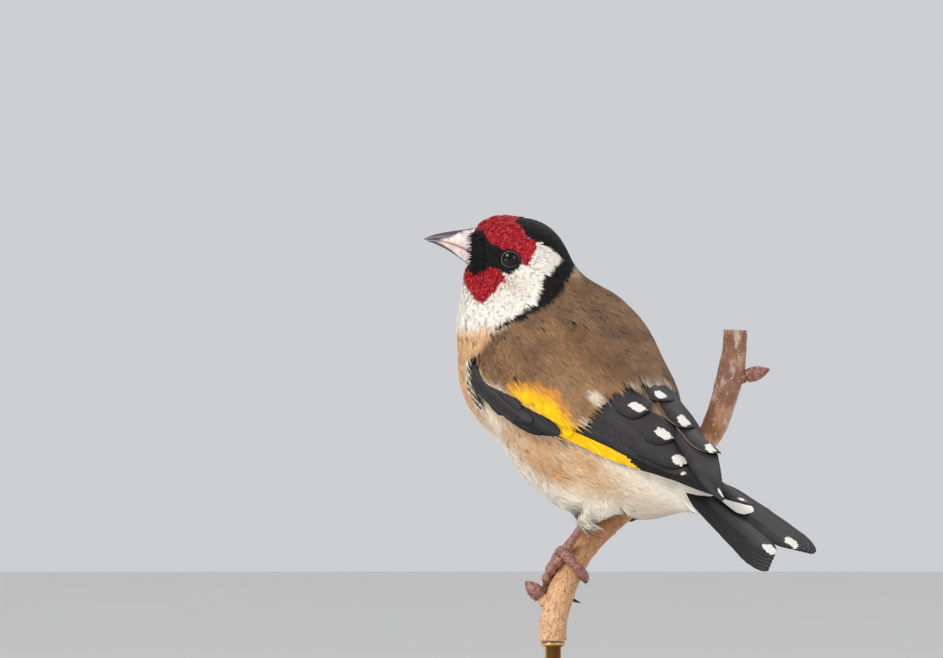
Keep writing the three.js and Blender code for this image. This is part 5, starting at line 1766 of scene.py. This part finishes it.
bark = Finish("twig_bark", Roughness=0.62)
where = bark.place()
patches = bark.noise(4.0, where, 4)
fine = bark.noise(0.4, where, 5)
streaks = bark.noise(0.9, bark.place((0.6, 0.6, 2.6)), 4)
dots = bark.cells(0.62, where)
specks = (1 - dots.step(0.16, 0.42)) * bark.noise(1.3, where).step(0.36, 0.52)
lenticel = 1 - bark.cells(1.5, bark.place((1, 1, 0.75))).step(0.08, 0.24)
lenticel = lenticel * bark.noise(2.1, where).step(0.5, 0.6)
scuffs = bark.noise(2.2, bark.place((1, 1, 2.0)), 5).step(0.55, 0.68)
lower = 1 - bark.drawn("rise").step(-42, -22)
upper = bark.drawn("rise").step(-14, 4)
brown = bark.mix(patches.step(0.35, 0.65), srgb(150, 98, 54), srgb(186, 130, 80))
brown = bark.mix(lower * 0.9, brown, bark.mix(patches, srgb(204, 152, 102), srgb(228, 188, 144)))
brown = bark.mix(upper * 0.8, brown, bark.mix(patches.step(0.4, 0.6), srgb(122, 86, 68), srgb(168, 134, 116)))
brown = bark.mix(streaks.step(0.48, 0.7) * 0.6, brown, srgb(116, 74, 46))
brown = bark.mix(fine.step(0.56, 0.7) * 0.6, brown, srgb(96, 60, 38))
brown = bark.mix(specks * 0.7, brown, srgb(160, 92, 46))
brown = bark.mix(scuffs * (0.2 + 0.55 * upper), brown, srgb(196, 178, 168))
brown = bark.mix(lenticel * 0.85, brown, srgb(232, 214, 190))
bark.feed(Base_Color=brown, Roughness=0.45 + 0.3 * fine)
bark.bump(fine * 0.55 + streaks * 0.45 + lenticel * 0.5 + specks * 0.25, 0.34)
set_attribute(perch.data, "rise", from_row(mesh_points(perch.data))[:, 2])
bark.on(perch)

bud_skin = Finish("bud_scales", Roughness=0.45)
bud_noise = bud_skin.noise(0.9)
bud_skin.feed(Base_Color=bud_skin.mix(bud_noise.step(0.35, 0.7), srgb(112, 62, 50), srgb(156, 112, 98)))
bud_skin.bump(bud_skin.noise(0.3), 0.05)
bud_skin.on(*bud_pieces)

turned_wood = Finish("turned_wood", Roughness=0.38, Coat_Weight=0.25, Coat_Roughness=0.25)
rings = turned_wood.noise(5.0, turned_wood.place((1, 9, 3)), 5)
pores = turned_wood.noise(0.5, turned_wood.place((0.6, 12, 2)), 3)
wood_colour = turned_wood.mix(rings, srgb(58, 34, 20), srgb(104, 64, 38))
wood_colour = turned_wood.mix(pores.step(0.58, 0.7) * 0.7, wood_colour, srgb(36, 22, 14))
turned_wood.feed(Base_Color=wood_colour, Roughness=0.32 + 0.2 * pores)
turned_wood.bump(pores, 0.04)
turned_wood.on(base)

rod_metal = Finish("satin_brass", Metallic=1.0, Roughness=0.3)
brushed = rod_metal.noise(0.6, rod_metal.place((1, 1, 0.12)), 3)
rod_colour = rod_metal.mix(brushed, srgb(186, 148, 84), srgb(210, 176, 110))
rod_metal.feed(Base_Color=rod_colour, Roughness=0.24 + 0.16 * brushed)
rod_metal.on(rod)


# What each piece stands for

REPLACED = [
    (skin, "body_feathers", ["head", "neck", "torso", "thigh_left", "thigh_right"]),
    (left_wing, "flight_feathers", ["wing_left"]),
    (right_wing, "flight_feathers", ["wing_right"]),
    (tail, "flight_feathers", ["tail"]),
    (eyes[0], "eye_gloss", ["eye_left"]),
    (eyes[1], "eye_gloss", ["eye_right"]),
    (bill_upper, "bill_horn", ["bill_upper"]),
    (bill_lower, "bill_horn", ["bill_lower"]),
    (perch, "bark", ["perch"]),
    (bud_pieces[0], "bud_scales", ["perch_bud_1"]),
    (bud_pieces[1], "bud_scales", ["perch_bud_2"]),
    (base, "base_wood", ["stand_base"]),
    (rod, "rod_metal", ["stand_rod"]),
]
REPLACED += [(legs[side], "leg_skin", [f"leg_{side}"]) for side in legs]
REPLACED += [(piece, "claw_horn", [node]) for node, piece in claws.items()]
ADDED = [(piece, "face_feathers" if "face" in piece.name else "body_feathers") for piece in coat]
ADDED += [(tail_cover, "flight_feathers")] + [(piece, "face_feathers") for piece in lids]

for piece, slot, nodes in REPLACED:
    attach(piece, "root")
    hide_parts(*nodes)
for piece, slot in ADDED:
    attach(piece, "root")


# Floor, light and camera

floor = turned_form("floor", [(0, -0.05), (3200, -0.05)], steps=96)
floor_paint = Finish("pale_floor", Roughness=0.9)
floor_colour = floor_paint.mix(floor_paint.noise(40.0), srgb(232, 230, 226), srgb(237, 235, 231))
floor_paint.feed(Base_Color=floor_colour)
floor_paint.on(floor)

world = bpy.data.worlds.new("pale_room")
bpy.context.scene.world = world
world.use_nodes = True
world.node_tree.nodes["Background"].inputs["Color"].default_value = (*srgb(226, 228, 232), 1)
world.node_tree.nodes["Background"].inputs["Strength"].default_value = 0.8
bpy.context.scene.view_settings.view_transform = "Standard"

middle = Vector(to_row(np.array([0, 0, 6.0])))


def soft_light(name, direction, distance, size, watts):
    lamp = bpy.data.lights.new(name, "AREA")
    lamp.shape = "DISK"
    lamp.size = size
    lamp.energy = watts
    holder = bpy.data.objects.new(name, lamp)
    bpy.context.scene.collection.objects.link(holder)
    away = Vector(direction).normalized()
    holder.location = middle + away * distance
    holder.rotation_euler = away.to_track_quat("Z", "Y").to_euler()
    return holder


VIEW_BACK = np.array([math.sqrt(0.5), math.sqrt(0.5), 0.0])
VIEW_RIGHT = np.array([-math.sqrt(0.5), math.sqrt(0.5), 0.0])
soft_light("key", VIEW_BACK * 0.75 - VIEW_RIGHT * 0.75 + UP * 1.0, 0.9, 0.4, 5.4)
soft_light("fill", VIEW_BACK * 0.8 + VIEW_RIGHT * 1.0 + UP * 0.5, 1.0, 0.6, 2.4)
soft_light("low", VIEW_BACK * 0.7 - VIEW_RIGHT * 0.9 - UP * 0.12, 0.6, 0.3, 0.95)
soft_light("rim", -VIEW_BACK + VIEW_RIGHT * 0.4 + UP * 1.3, 0.9, 0.4, 3.0)

# The photograph in pixels, at PHOTO_SCALE pixels to a millimetre
PHOTO_SCALE = 4.7
PHOTO_WIDTH = 943 / PHOTO_SCALE
CAMERA_DISTANCE = 3.0
PHOTO_MIDDLE = (471.5, 329)
ORIGIN_IN_PHOTO = (585, 830)
aim_right = (PHOTO_MIDDLE[0] - ORIGIN_IN_PHOTO[0]) / PHOTO_SCALE
aim_up = (ORIGIN_IN_PHOTO[1] - PHOTO_MIDDLE[1]) / PHOTO_SCALE
camera = bpy.data.objects.new("camera", bpy.data.cameras.new("camera"))
bpy.context.scene.collection.objects.link(camera)
camera.data.sensor_width = 36.0
camera.data.lens = 36.0 * CAMERA_DISTANCE / (PHOTO_WIDTH * MM)
camera.data.clip_end = 20.0
aim = (VIEW_RIGHT * aim_right + UP * aim_up) * MM
camera.location = Vector(aim + VIEW_BACK * CAMERA_DISTANCE)
camera.rotation_euler = (Vector(VIEW_BACK)).to_track_quat("Z", "Y").to_euler()
bpy.context.scene.camera = camera
